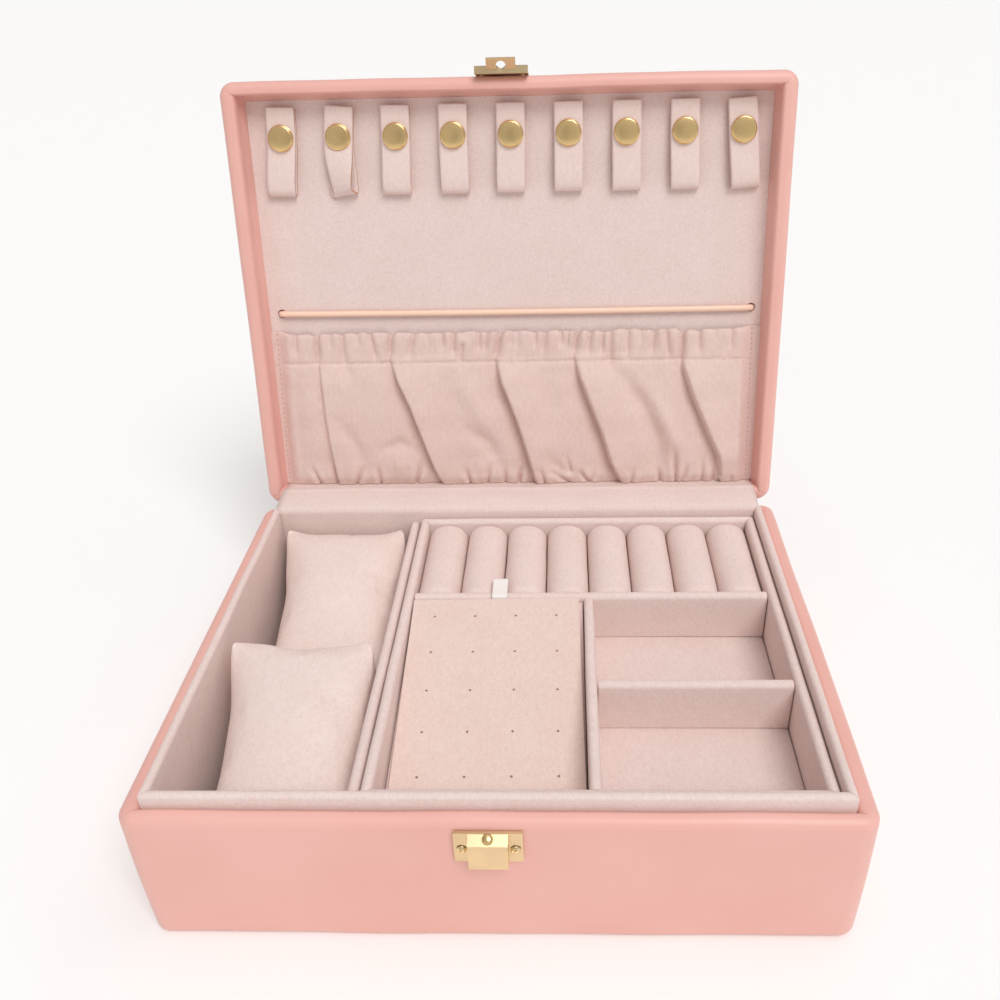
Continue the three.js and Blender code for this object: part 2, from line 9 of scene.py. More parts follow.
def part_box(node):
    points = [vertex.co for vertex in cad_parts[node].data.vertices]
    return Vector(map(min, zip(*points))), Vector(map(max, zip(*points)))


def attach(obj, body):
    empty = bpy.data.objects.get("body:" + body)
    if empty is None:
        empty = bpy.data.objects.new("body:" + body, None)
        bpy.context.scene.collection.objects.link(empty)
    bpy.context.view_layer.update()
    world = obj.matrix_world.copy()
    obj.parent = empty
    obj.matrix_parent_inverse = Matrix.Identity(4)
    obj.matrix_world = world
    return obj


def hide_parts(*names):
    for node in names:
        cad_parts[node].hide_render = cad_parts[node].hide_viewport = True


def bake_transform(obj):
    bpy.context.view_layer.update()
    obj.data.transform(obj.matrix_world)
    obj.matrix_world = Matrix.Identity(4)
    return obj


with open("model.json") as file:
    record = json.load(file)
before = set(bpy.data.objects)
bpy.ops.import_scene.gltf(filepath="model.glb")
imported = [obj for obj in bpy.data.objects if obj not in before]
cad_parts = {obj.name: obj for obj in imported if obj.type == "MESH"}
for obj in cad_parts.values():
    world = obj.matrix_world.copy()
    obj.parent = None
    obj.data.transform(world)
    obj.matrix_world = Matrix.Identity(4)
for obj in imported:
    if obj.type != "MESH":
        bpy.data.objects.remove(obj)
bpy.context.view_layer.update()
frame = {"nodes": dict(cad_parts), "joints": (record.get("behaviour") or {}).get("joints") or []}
mm = 0.001
scene = bpy.context.scene

# ---- camera ----
cameraView = {
    "pitch": 32.68,      # degrees below the horizon
    "yaw": -2.29,
    "roll": -1.64,
    "place": (0.0255, -0.3218, 0.3302),
    "sensor": 36.0,
    "lens": 33.908,
    "shift": (-0.0327, 0.0195),
}


def makeCamera(view):
    # forward, right and up from pitch and yaw, then right and up turned by the roll
    pitch, yaw, roll = np.radians([view["pitch"], view["yaw"], view["roll"]])
    forward = np.array([np.sin(yaw) * np.cos(pitch), np.cos(yaw) * np.cos(pitch), -np.sin(pitch)])
    level = np.array([np.cos(yaw), -np.sin(yaw), 0.0])
    upright = np.cross(level, forward)
    right = np.cos(roll) * level + np.sin(roll) * upright
    up = -np.sin(roll) * level + np.cos(roll) * upright
    data = bpy.data.cameras.new("camera")
    camera = bpy.data.objects.new("camera", data)
    scene.collection.objects.link(camera)
    turn = Matrix(np.column_stack([right, up, -forward]).tolist()).to_4x4()
    camera.matrix_world = Matrix.Translation(view["place"]) @ turn
    data.sensor_width = view["sensor"]
    data.lens = view["lens"]
    data.shift_x, data.shift_y = view["shift"]
    data.clip_start = 0.01
    scene.camera = camera


makeCamera(cameraView)
print("camera made")

# ---- places from the frame ----
hinge = next(joint for joint in frame["joints"] if joint["name"] == "lid_hinge")
hingeY, hingeZ = hinge["pos_m"][1:]
openTurn = np.radians(-hinge["range_deg"][0])


def opened(points):
    # a point of the closed lid, turned back about the hinge line to where it lies open
    x, y, z = np.moveaxis(np.asarray(points, float), -1, 0)
    y, z = y - hingeY, z - hingeZ
    back = y * np.cos(openTurn) + z * np.sin(openTurn)
    up = -y * np.sin(openTurn) + z * np.cos(openTurn)
    return np.stack([x, hingeY + back, hingeZ + up], -1)


def closedBox(nodeName):
    # lowest and highest corner of a lid node as it lies with the lid closed
    mesh = frame["nodes"][nodeName].data
    spots = np.zeros(len(mesh.vertices) * 3, np.float32)
    mesh.vertices.foreach_get("co", spots)
    x, y, z = spots.reshape(-1, 3).astype(float).T
    y, z = y - hingeY, z - hingeZ
    front = y * np.cos(openTurn) - z * np.sin(openTurn)
    down = y * np.sin(openTurn) + z * np.cos(openTurn)
    shut = np.stack([x, hingeY + front, hingeZ + down], -1)
    return shut.min(0), shut.max(0)


def cadBox(nodeName):
    low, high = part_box(nodeName)
    return np.array(low), np.array(high)


panelLow, panelHigh = closedBox("lid_lining_panel")
panelFace = panelLow[2]


def onPanel(x, y, stand):
    # a point over the lid's lining panel: across, along the closed lid, and how far it stands off
    x, y, stand = np.broadcast_arrays(x, y, stand)
    return opened(np.stack([x, y, panelFace - stand], -1))


# ---- shapes on grids ----
def smoothStep(low, high, value):
    share = np.clip((value - low) / (high - low), 0, 1)
    return share * share * (3 - 2 * share)


def unevenness(points, size, seed):
    # a sum of sine waves in fixed directions, roughly between -1 and 1
    draw = np.random.default_rng(seed)
    ways = draw.normal(size=(6, 3))
    ways /= np.linalg.norm(ways, axis=1, keepdims=True)
    pace = 2 * np.pi / size * draw.uniform(0.6, 1.6, 6)
    phase = draw.uniform(0, 2 * np.pi, 6)
    return np.sin(points @ (ways * pace[:, None]).T + phase).mean(-1) * 1.8


def beside(x, y, line):
    # for each point, its distance to the nearest stretch of the line, the side it lies on (right is
    # positive) and its share along the line
    line = np.array(line, float)
    start, step = line[:-1], np.diff(line, axis=0)
    toX, toY = x[..., None] - start[:, 0], y[..., None] - start[:, 1]
    length = np.linalg.norm(step, axis=1)
    share = np.clip((toX * step[:, 0] + toY * step[:, 1]) / length**2, 0, 1)
    gap = np.hypot(toX - share * step[:, 0], toY - share * step[:, 1])
    near = gap.argmin(-1)[..., None]
    crossing = (toX * step[:, 1] - toY * step[:, 0]) / length
    run = (np.cumsum(length) - length + share * length) / length.sum()
    return tuple(np.take_along_axis(part, near, -1)[..., 0] for part in (gap, crossing, run))


def gridFaces(rows, cols, closeRows=False, closeCols=False, first=0):
    row = np.arange(rows if closeRows else rows - 1)[:, None]
    col = np.arange(cols if closeCols else cols - 1)[None, :]
    nextRow = (row + 1) % rows
    nextCol = (col + 1) % cols
    corners = [row * cols + col, row * cols + nextCol, nextRow * cols + nextCol, nextRow * cols + col]
    return np.stack(corners, -1).reshape(-1, 4) + first


def meshOf(name, spots, faces, uv=None):
    mesh = bpy.data.meshes.new(name)
    mesh.from_pydata(spots.reshape(-1, 3).tolist(), [], [tuple(face) for face in faces])
    if uv is not None:
        corner = np.zeros(len(mesh.loops), np.int32)
        mesh.loops.foreach_get("vertex_index", corner)
        layer = mesh.uv_layers.new(name="cloth")
        layer.data.foreach_set("uv", uv.reshape(-1, 2)[corner].ravel().astype(np.float32))
    return mesh


def finishMesh(mesh, sharpAngle=50, closed=True):
    # doubles merged, faces turned outwards, smooth except at real corners
    work = bmesh.new()
    work.from_mesh(mesh)
    bmesh.ops.remove_doubles(work, verts=work.verts, dist=2e-6)
    bmesh.ops.dissolve_degenerate(work, edges=work.edges, dist=1e-6)
    if closed:
        bmesh.ops.recalc_face_normals(work, faces=work.faces)
    work.to_mesh(mesh)
    work.free()
    mesh.shade_smooth()
    mesh.set_sharp_from_angle(angle=np.radians(sharpAngle))


def addPiece(name, mesh, material, body=None, stands=()):
    mesh.materials.append(material)
    piece = bpy.data.objects.new(name, mesh)
    scene.collection.objects.link(piece)
    if body:
        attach(piece, body)
    if stands:
        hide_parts(*stands)
    return piece


def joinGrids(parts):
    # several closed tubes as one mesh's points and faces; each part is rows x columns x 3
    spots, faces, count = [], [], 0
    for part in parts:
        rows, cols = part.shape[:2]
        spots.append(part.reshape(-1, 3))
        faces += list(gridFaces(rows, cols, closeCols=True, first=count))
        faces.append(np.arange(cols)[::-1] + count)
        faces.append(np.arange(cols) + count + (rows - 1) * cols)
        count += rows * cols
    return np.concatenate(spots), faces


def addModifier(piece, kind, **settings):
    made = piece.modifiers.new(kind.lower(), kind)
    for key, value in settings.items():
        setattr(made, key, value)
    return made


def roundedRings(x0, x1, y0, y1, radius, z, cornerSteps=8, sideSteps=20):
    # each ring is a rounded rectangle: points on four quarter circles, and evenly along the sides between
    x0, x1, y0, y1, radius, z = np.broadcast_arrays(x0, x1, y0, y1, radius, z)
    centreX = np.stack([x1 - radius, x1 - radius, x0 + radius, x0 + radius], 1)
    centreY = np.stack([y0 + radius, y1 - radius, y1 - radius, y0 + radius], 1)
    arc = np.arange(cornerSteps + 1) / cornerSteps
    side = np.arange(1, sideSteps) / sideSteps
    corner = np.repeat(np.arange(4), cornerSteps + sideSteps)
    here = np.tile(np.concatenate([arc, np.ones(sideSteps - 1)]), 4)
    along = np.tile(np.concatenate([np.zeros(cornerSteps + 1), side]), 4)
    following = (corner + 1) % 4
    angle = np.pi / 2 * (corner - 1 + here)
    angleNext = np.pi / 2 * (corner + 0.0)
    ring = radius[:, None]
    startX = centreX[:, corner] + ring * np.cos(angle)
    startY = centreY[:, corner] + ring * np.sin(angle)
    endX = centreX[:, following] + ring * np.cos(angleNext)
    endY = centreY[:, following] + ring * np.sin(angleNext)
    x = (1 - along) * startX + along * endX
    y = (1 - along) * startY + along * endY
    crease = np.tile(np.concatenate([cornerMark(arc), np.zeros(sideSteps - 1)]), 4)
    return np.stack([x, y, np.broadcast_to(z[:, None], x.shape)], -1), crease


def cornerMark(arc):
    # 1 on a corner's diagonal, falling away as a bell curve to either side
    return np.exp(-(((arc - 0.5) / 0.07) ** 2))


# ---- materials ----
def linear(colour):
    # 0-255 screen colour to the linear colour that the shader takes
    share = np.array(colour) / 255
    return (*np.where(share <= 0.04045, share / 12.92, ((share + 0.055) / 1.055) ** 2.4).tolist(), 1.0)


def addNode(tree, kind, inputs=None, **settings):
    made = tree.nodes.new(kind)
    for key, value in settings.items():
        setattr(made, key, value)
    for key, value in (inputs or {}).items():
        made.inputs[key].default_value = value
    return made


def newMaterial(name, **sockets):
    material = bpy.data.materials.new(name)
    material.use_nodes = True
    shader = material.node_tree.nodes["Principled BSDF"]
    for key, value in sockets.items():
        shader.inputs[key.replace("_", " ")].default_value = value
    return material, material.node_tree, shader


def surfacePlace(tree, onCloth, scale=(1, 1, 1)):
    # where a pattern reads its place: the cloth's own flat map in metres, or the object
    where = addNode(tree, "ShaderNodeTexCoord")
    mapping = addNode(tree, "ShaderNodeMapping", inputs={"Scale": scale})
    tree.links.new(where.outputs["UV" if onCloth else "Object"], mapping.inputs["Vector"])
    return mapping.outputs["Vector"]


def noiseOn(tree, place, scale, detail=3.0, roughness=0.55, distortion=0.0):
    values = {"Scale": scale, "Detail": detail, "Roughness": roughness, "Distortion": distortion}
    made = addNode(tree, "ShaderNodeTexNoise", inputs=values)
    tree.links.new(place, made.inputs["Vector"])
    return made.outputs["Fac"]


def ramp(tree, factor, stops):
    made = addNode(tree, "ShaderNodeValToRGB")
    band = made.color_ramp
    band.elements[0].position, band.elements[0].color = stops[0]
    band.elements[1].position, band.elements[1].color = stops[-1]
    for position, colour in stops[1:-1]:
        band.elements.new(position).color = colour
    tree.links.new(factor, made.inputs["Fac"])
    return made.outputs["Color"]


def mixColour(tree, factor, first, second, blend="MIX"):
    made = addNode(tree, "ShaderNodeMix", data_type="RGBA", blend_type=blend)
    for socket, value in (("Factor", factor), ("A", first), ("B", second)):
        slotIn = next(i for i in made.inputs if i.name == socket and i.enabled)
        if isinstance(value, bpy.types.NodeSocket):
            tree.links.new(value, slotIn)
        else:
            slotIn.default_value = value
    return next(o for o in made.outputs if o.enabled)


def mixValue(tree, operation, first, second):
    made = addNode(tree, "ShaderNodeMath", operation=operation)
    for i, value in enumerate((first, second)):
        if isinstance(value, bpy.types.NodeSocket):
            tree.links.new(value, made.inputs[i])
        else:
            made.inputs[i].default_value = value
    return made.outputs[0]


def bumpInto(tree, shader, height, strength, distance):
    bump = addNode(tree, "ShaderNodeBump", inputs={"Strength": strength, "Distance": distance})
    tree.links.new(height, bump.inputs["Height"])
    tree.links.new(bump.outputs["Normal"], shader.inputs["Normal"])


def suedeMaterial(name, look, onCloth=False):
    # short nap: fine speckle, brushed streaks and slow patches where the nap lies differently
    material, tree, shader = newMaterial(
        name,
        Roughness=0.92,
        Sheen_Weight=look["sheen"],
        Sheen_Roughness=0.45,
        Sheen_Tint=linear(look["light"]),
        Specular_IOR_Level=0.15,
    )
    place = surfacePlace(tree, onCloth)
    brushed = surfacePlace(tree, onCloth, look["brush"])
    speckle = noiseOn(tree, place, look["speckle"], 4.0, 0.7)
    streak = noiseOn(tree, brushed, 700.0, 3.0, 0.6, 0.4)
    patch = noiseOn(tree, place, 60.0, 4.0, 0.6, 0.3)
    nap = mixValue(tree, "ADD", mixValue(tree, "MULTIPLY", speckle, 0.72), mixValue(tree, "MULTIPLY",
        streak, 0.28))
    stops = [(0.3, linear(look["dark"])), (0.5, linear(look["middle"])), (0.7, linear(look["light"]))]
    fine = ramp(tree, nap, stops)
    slow = ramp(tree, patch, [(0.3, linear(look["shade"])), (0.7, (1, 1, 1, 1))])
    tree.links.new(mixColour(tree, 1.0, fine, slow, "MULTIPLY"), shader.inputs["Base Color"])
    bumpInto(tree, shader, nap, look["bump"], 0.35 * mm)
    return material


suedeLook = {
    "dark": (216, 194, 188),
    "middle": (231, 211, 205),
    "light": (242, 225, 220),
    "shade": (252, 250, 249),
    "sheen": 0.2,
    "speckle": 2100.0,
    "brush": (1.0, 0.5, 1.0),
    "bump": 0.35,
}
boardLook = {**suedeLook, "dark": (214, 191, 185), "middle": (228, 207, 201), "light": (238, 220, 215)}
# painted shade: the pocket's suede colours are darker than the lining's, standing in for the shade over the
# gathered pocket
shadedPocketLook = {
    **suedeLook,
    "dark": (212, 184, 176),
    "middle": (227, 201, 193),
    "light": (238, 216, 209),
    "brush": (1.0, 0.4, 1.0),
}
plateLook = {**suedeLook, "dark": (216, 190, 180), "middle": (231, 207, 198), "light": (241, 221, 213)}
pillowLook = {**suedeLook, "dark": (219, 198, 190), "middle": (234, 215, 208), "light": (244, 229, 223)}
strapLook = {**suedeLook, "dark": (218, 195, 187), "middle": (233, 212, 205), "light": (243, 226, 220)}
# painted shade: a brown much darker than the suede for the strap edges, standing in for the shade along
# their sides
shadedEdgeLook = {**suedeLook, "dark": (178, 128, 104), "middle": (200, 150, 124), "light": (216, 168, 142)}
leatherLook = {
    "colour": (235, 180, 169),
    "deep": (229, 169, 157),
    "grain": 1500.0,
    "roughness": 0.42,
}


def leatherMaterial(name, look, onCloth=False):
    # smooth coated leather: fine pebbling, a few broad tone changes, slightly uneven gloss
    material, tree, shader = newMaterial(
        name, Specular_IOR_Level=0.45, Sheen_Weight=0.05, Sheen_Roughness=0.4
    )
    place = surfacePlace(tree, onCloth)
    tone = noiseOn(tree, place, 18.0, 3.0, 0.5)
    colour = ramp(tree, tone, [(0.35, linear(look["deep"])), (0.6, linear(look["colour"]))])
    tree.links.new(mixColour(tree, 0.45, linear(look["colour"]), colour), shader.inputs["Base Color"])
    pebble = addNode(tree, "ShaderNodeTexVoronoi", inputs={"Scale": look["grain"]}, feature="SMOOTH_F1")
    tree.links.new(place, pebble.inputs["Vector"])
    pores = noiseOn(tree, place, 2600.0, 3.0, 0.6)
    height = mixValue(tree, "ADD", mixValue(tree, "MULTIPLY", pebble.outputs["Distance"], 0.7), pores)
    bumpInto(tree, shader, height, 0.16, 0.12 * mm)
    gloss = noiseOn(tree, place, 160.0, 3.0, 0.5)
    spread = addNode(tree, "ShaderNodeMapRange")
    spread.inputs["To Min"].default_value = look["roughness"] - 0.05
    spread.inputs["To Max"].default_value = look["roughness"] + 0.07
    tree.links.new(gloss, spread.inputs["Value"])
    tree.links.new(spread.outputs["Result"], shader.inputs["Roughness"])
    return material


def metalMaterial(name, colour, roughness, brushing):
    # plated metal: even colour, a little uneven polish and very fine brushing
    material, tree, shader = newMaterial(name, Metallic=1.0)
    place = surfacePlace(tree, False)
    tone = noiseOn(tree, place, 90.0, 2.0, 0.5)
    darker = tuple(c * 0.88 for c in linear(colour)[:3]) + (1.0,)
    tree.links.new(ramp(tree, tone, [(0.3, darker), (0.7, linear(colour))]), shader.inputs["Base Color"])
    polish = noiseOn(tree, place, 700.0, 3.0, 0.6)
    spread = addNode(tree, "ShaderNodeMapRange")
    spread.inputs["To Min"].default_value = roughness * 0.8
    spread.inputs["To Max"].default_value = roughness * 1.25
    tree.links.new(polish, spread.inputs["Value"])
    tree.links.new(spread.outputs["Result"], shader.inputs["Roughness"])
    scratches = noiseOn(tree, surfacePlace(tree, False, (0.08, 1.0, 1.0)), 2600.0, 2.0, 0.5)
    bumpInto(tree, shader, scratches, brushing, 0.03 * mm)
    return material


def elasticMaterial(name):
    # covered elastic: fine slanting threads round a satin cord, on the cord's own map
    material, tree, shader = newMaterial(name, Roughness=0.42, Sheen_Weight=0.2, Sheen_Roughness=0.3)
    place = surfacePlace(tree, True, (1.0, 1.0, 1.0))
    thread = addNode(
        tree, "ShaderNodeTexWave", inputs={"Scale": 420.0, "Distortion": 0.6, "Detail": 1.0},
        wave_type="BANDS", bands_direction="DIAGONAL",
    )
    tree.links.new(place, thread.inputs["Vector"])
    colours = [(0.1, linear((244, 204, 180))), (0.8, linear((251, 216, 193)))]
    tree.links.new(ramp(tree, thread.outputs["Fac"], colours), shader.inputs["Base Color"])
    bumpInto(tree, shader, thread.outputs["Fac"], 0.12, 0.05 * mm)
    return material


def satinMaterial(name):
    # satin ribbon: close weft ribs across its length, on the ribbon's own map
    material, tree, shader = newMaterial(
        name, Roughness=0.3, Sheen_Weight=0.3, Sheen_Roughness=0.25, Anisotropic=0.4
    )
    place = surfacePlace(tree, True)
    rib = addNode(
        tree, "ShaderNodeTexWave", inputs={"Scale": 900.0, "Distortion": 0.3}, wave_type="BANDS",
        bands_direction="Y",
    )
    tree.links.new(place, rib.inputs["Vector"])
    colours = [(0.0, linear((232, 222, 216))), (1.0, linear((250, 245, 241)))]
    tree.links.new(ramp(tree, rib.outputs["Fac"], colours), shader.inputs["Base Color"])
    bumpInto(tree, shader, rib.outputs["Fac"], 0.25, 0.05 * mm)
    return material


def threadMaterial(name, colour):
    material, tree, shader = newMaterial(name, Roughness=0.7, Sheen_Weight=0.2)
    twist = noiseOn(tree, surfacePlace(tree, False), 3000.0, 2.0)
    paler = tuple(min(1.0, c * 1.25) for c in linear(colour)[:3]) + (1.0,)
    tree.links.new(ramp(tree, twist, [(0.3, linear(colour)), (0.7, paler)]), shader.inputs["Base Color"])
    bumpInto(tree, shader, twist, 0.3, 0.05 * mm)
    return material


pinkLeather = leatherMaterial("pinkLeather", leatherLook)
spineLeather = leatherMaterial("spineLeather", leatherLook, onCloth=True)
liningSuede = suedeMaterial("liningSuede", suedeLook)
flapSuede = suedeMaterial("flapSuede", suedeLook, onCloth=True)
boardSuede = suedeMaterial("boardSuede", boardLook)
# painted shade: the pocket's suede is a darker copy of the lining suede
pocketSuede = suedeMaterial("pocketSuede", shadedPocketLook, onCloth=True)
plateSuede = suedeMaterial("plateSuede", plateLook)
pillowSuede = suedeMaterial("pillowSuede", pillowLook)
strapSuede = suedeMaterial("strapSuede", strapLook, onCloth=True)
# painted shade on the strap edges
strapEdge = suedeMaterial("strapEdge", shadedEdgeLook, onCloth=True)
polishedGold = metalMaterial("polishedGold", (242, 208, 148), 0.24, 0.1)
satinGold = metalMaterial("satinGold", (238, 211, 166), 0.3, 0.15)
hingeBrass = metalMaterial("hingeBrass", (205, 176, 120), 0.35, 0.2)
peachElastic = elasticMaterial("peachElastic")
whiteSatin = satinMaterial("whiteSatin")
brownThread = threadMaterial("brownThread", (164, 112, 92))
print("materials made")

# ---- leather base and lid ----
shellLook = {
    "corner": 7.0 * mm,      # vertical corners
    "edge": 4.0 * mm,        # padded edges
    "innerShare": 0.36,      # share of the wall that turns over to the inside
    "innerEdge": 2.6 * mm,   # height of that turn
    "swell": 0.25 * mm,      # padding under the leather
    "crease": 0.55 * mm,     # folded corners of the rim
    "uneven": 0.22 * mm,
}


def quarterTurn(steps):
    return np.arange(steps + 1) / steps * np.pi / 2


def shellRings(box, walls, floor, look, drawnBack=(0, 0, 0, 0)):
    # rounded rectangles from the middle of the outside face, round the outer edge, up the wall, over the
    # rim, down inside and to the middle of the floor. share is 0 outside and 1 at the inner wall, and
    # near is how far the inner wall draws back beside the rim
    (x0, y0, z0), (x1, y1, z1) = box
    left, right, front, back = walls
    turn = quarterTurn(9)
    edge, inner, over = look["edge"], look["innerEdge"], look["innerShare"]
    half = min(x1 - x0, y1 - y0) / 2
    insideHalf = (min(x1 - x0 - left - right, y1 - y0 - front - back)) / 2
    rise = np.linspace(0.06, 0.94, 8)
    wallLow, wallHigh = z0 + edge, z1 - edge
    rows = []
    for inset in (half - 1.5 * mm, half * 0.6, half * 0.25, edge + 3 * mm):
        rows.append((inset, 0.0, z0, 0, 0))
    for angle in turn:
        rows.append((edge * (1 - np.sin(angle)), 0.0, z0 + edge * (1 - np.cos(angle)), 0, 0))
    for share in rise:
        swell = look["swell"] * np.sin(np.pi * share)
        rows.append((-swell, 0.0, wallLow + (wallHigh - wallLow) * share, 0, 0))
    for angle in turn:
        crease = np.sin(angle) ** 8 * 0.5
        rows.append((edge * (1 - np.cos(angle)), 0.0, z1 - edge + edge * np.sin(angle), crease, 0))
    for angle in turn:
        crease = 0.5 + 0.5 * np.sin(angle * 2)
        share = 1 - over * (1 - np.sin(angle))
        rows.append((0.0, share, z1 - inner * (1 - np.cos(angle)), crease, np.sin(angle)))
    for down in (0.1, 0.3, 0.45, 0.6, 0.8, 0.95):
        rows.append((0.0, 1.0, z1 - inner + (floor - z1 + inner) * down, 0, 1 - smoothStep(0.3, 0.8, down)))
    for inset in (0.0, insideHalf * 0.5, insideHalf - 1.5 * mm):
        rows.append((inset, 1.0, floor, 0, 0))
    inset, share, z, rim, near = np.array(rows).T
    left, right, front, back = (wall - near / np.maximum(share, 0.5) * less for wall, less in zip(walls,
        drawnBack))
    radius = np.where(share > 0, 0.5 * mm, np.maximum(look["corner"] - np.maximum(inset, 0), 0.5 * mm))
    points, crease = roundedRings(
        x0 + inset + share * left, x1 - inset - share * right,
        y0 + inset + share * front, y1 - inset - share * back,
        radius, z, 24, 26,
    )
    points[..., 2] -= look["crease"] * crease[None, :] * rim[:, None]
    return points


def leatherShell(name, points, body, node):
    points = points + unevenness(points, 80 * mm, 3)[..., None] * shellLook["uneven"]
    rows, cols = points.shape[:2]
    faces = list(gridFaces(rows, cols, closeCols=True))
    faces.append(np.arange(cols)[::-1])
    faces.append(np.arange(cols) + (rows - 1) * cols)
    mesh = meshOf(name, points, faces)
    finishMesh(mesh, 60)
    return addPiece(name, mesh, pinkLeather, body, [node])


baseLow, baseHigh = cadBox("base_shell")
linerLow, linerHigh = cadBox("base_liner")
shellGap = 0.3 * mm          # leather to the lining frame
wallInside = [linerLow[:2] - shellGap, linerHigh[:2] + shellGap]
baseWalls = (
    wallInside[0][0] - baseLow[0],
    baseHigh[0] - wallInside[1][0],
    wallInside[0][1] - baseLow[1],
    baseHigh[1] - wallInside[1][1],
)
baseFloor = linerLow[2] - shellGap
leatherShell(
    "leather_base",
    shellRings((baseLow, baseHigh), baseWalls, baseFloor, shellLook),
    "base",
    "base_shell",
)
lidLow, lidHigh = closedBox("lid_shell")
rimOver = 1.3 * mm           # padded rim over the edge of the lid's lining panel
lidWalls = (
    panelLow[0] + rimOver - lidLow[0],
    lidHigh[0] - panelHigh[0] + rimOver,
    panelLow[1] + rimOver * 1.3 - lidLow[1],
    lidHigh[1] - panelHigh[1] - shellGap,
)
lidCeiling = panelHigh[2] + shellGap
# the lid is the same shell upside down: mirrored in height, then put back
upside = np.array([1, 1, -1])
lidBox = (lidLow * upside)[:2].tolist(), (lidHigh * upside)[:2].tolist()
lidRings = shellRings(
    ((*lidBox[0], -lidHigh[2]), (*lidBox[1], -lidLow[2])), lidWalls, -lidCeiling, shellLook,
    (1.5 * mm, 1.5 * mm, 1.9 * mm, 0),
)
leatherShell("leather_lid", opened(lidRings * upside), "lid", "lid_shell")
print("leather shells made")

# ---- fabric-wrapped boards ----
boardShape = {
    "endRound": 0.7 * mm,
    "step": 5 * mm,         # between rows along a board
    "waver": 0.1 * mm,      # hand-wrapped unevenness
}


def wrappedBoard(start, end, thickness, z0, z1, mitres=(0, 0), topRound=0.48, look=boardShape):
    # a rounded-top section carried from start to end along the board's outer face; the thickness lies to
    # the left of that way. A mitre of 1 cuts the end at 45 degrees, and each end is slightly rounded.
    start, end = np.array(start, float), np.array(end, float)
    length = np.linalg.norm(end - start)
    way = (end - start) / length
    inward = np.array([-way[1], way[0]])
    radius = thickness * topRound
    turn = quarterTurn(6)
    climb = np.linspace(0, 1, 7)[:-1]
    across = np.concatenate([
        np.zeros(6), radius * (1 - np.cos(turn)), thickness - radius * (1 - np.sin(turn)), np.full(6,
            thickness),
    ])
    straight = z0 + (z1 - radius - z0) * climb
    height = np.concatenate([
        straight, z1 - radius * (1 - np.sin(turn)), z1 - radius * (1 - np.cos(turn)), straight[::-1],
    ])
    rounding = look["endRound"]
    ends = rounding * (1 - np.cos(quarterTurn(4)))
    count = max(2, int(length / look["step"]))
    middle = np.linspace(rounding, length - rounding, count)
    stops = np.concatenate([ends[:-1], middle, length - ends[::-1][1:]])
    shrink = rounding - np.sqrt(np.maximum(0, rounding**2 - np.maximum(0, rounding - np.minimum(
        stops, length - stops)) ** 2))
    squeeze = 1 - 2 * shrink[:, None] / thickness
    t = thickness / 2 + (across[None, :] - thickness / 2) * squeeze
    h = height[None, :] - shrink[:, None] * (height[None, :] - z0) / (z1 - z0)
    share = stops[:, None] / length
    along = stops[:, None] + mitres[0] * t * (1 - share) - mitres[1] * t * share
    x = start[0] + way[0] * along + inward[0] * t
    y = start[1] + way[1] * along + inward[1] * t
    points = np.stack([x, y, np.broadcast_to(h, x.shape)], -1)
    points[..., 2] += unevenness(points, 45 * mm, 7) * look["waver"] * (points[..., 2] > z0 + 1 * mm)
    points[..., :2] += (unevenness(points, 60 * mm, 8) * look["waver"])[..., None] * inward
    return points


def boardPiece(name, parts, material, body, nodes):
    spots, faces = joinGrids(parts)
    mesh = meshOf(name, spots, faces)
    finishMesh(mesh, 55)
    return addPiece(name, mesh, material, body, nodes)


def wrappedFrame(low, high, thickness, topRound=0.48, backDrop=0.0, backThin=0.0):
    # four mitred boards round a rectangle, each with its thickness to the inside
    x0, y0, z0 = low
    x1, y1, z1 = high
    mitred = (1, 1)
    return [
        wrappedBoard((x0, y0), (x1, y0), thickness, z0, z1, mitred, topRound),
        wrappedBoard((x1, y0), (x1, y1), thickness, z0, z1, mitred, topRound),
        wrappedBoard((x1, y1), (x0, y1), thickness - backThin, z0, z1 - backDrop, mitred, topRound),
        wrappedBoard((x0, y1), (x0, y0), thickness, z0, z1, mitred, topRound),
    ]


def alongBoard(name, body, material, topRound=0.48, pieceName=None):
    # a straight board that fills its CAD box, carried along its longer side
    low, high = cadBox(name)
    if high[0] - low[0] > high[1] - low[1]:
        ends = (low[0], low[1]), (high[0], low[1])
        thickness = high[1] - low[1]
    else:
        ends = (high[0], low[1]), (high[0], high[1])
        thickness = high[0] - low[0]
    part = wrappedBoard(*ends, thickness, low[2], high[2], (0, 0), topRound)
    return boardPiece(pieceName, [part], material, body, [name])


linerThickness = 3.6 * mm
trayThickness = 4.4 * mm
flapCover = 0.9 * mm         # room for the fabric that laps over the rear board
flapDrop = 1.9 * mm
boardPiece(
    "lining_walls",
    wrappedFrame(linerLow, linerHigh, linerThickness, backDrop=flapDrop, backThin=flapCover),
    liningSuede, "base", ["base_liner"],
)
trayLow, trayHigh = cadBox("tray_frame")
boardPiece(
    "tray_walls", wrappedFrame(trayLow, trayHigh, trayThickness), liningSuede, "tray", ["tray_frame"],
)
riserLow, riserHigh = cadBox("tray_riser")
boardPiece(
    "tray_support", wrappedFrame(riserLow, riserHigh, 3 * mm, 0.3), boardSuede, "base", ["tray_riser"],
)
alongBoard("partition_wall", "base", liningSuede, pieceName="partition")
alongBoard("ring_divider", "tray", liningSuede, 0.42, "divider_rings")
alongBoard("plate_divider", "tray", liningSuede, 0.42, "divider_long")
alongBoard("cross_divider", "tray", liningSuede, 0.42, "divider_cross")


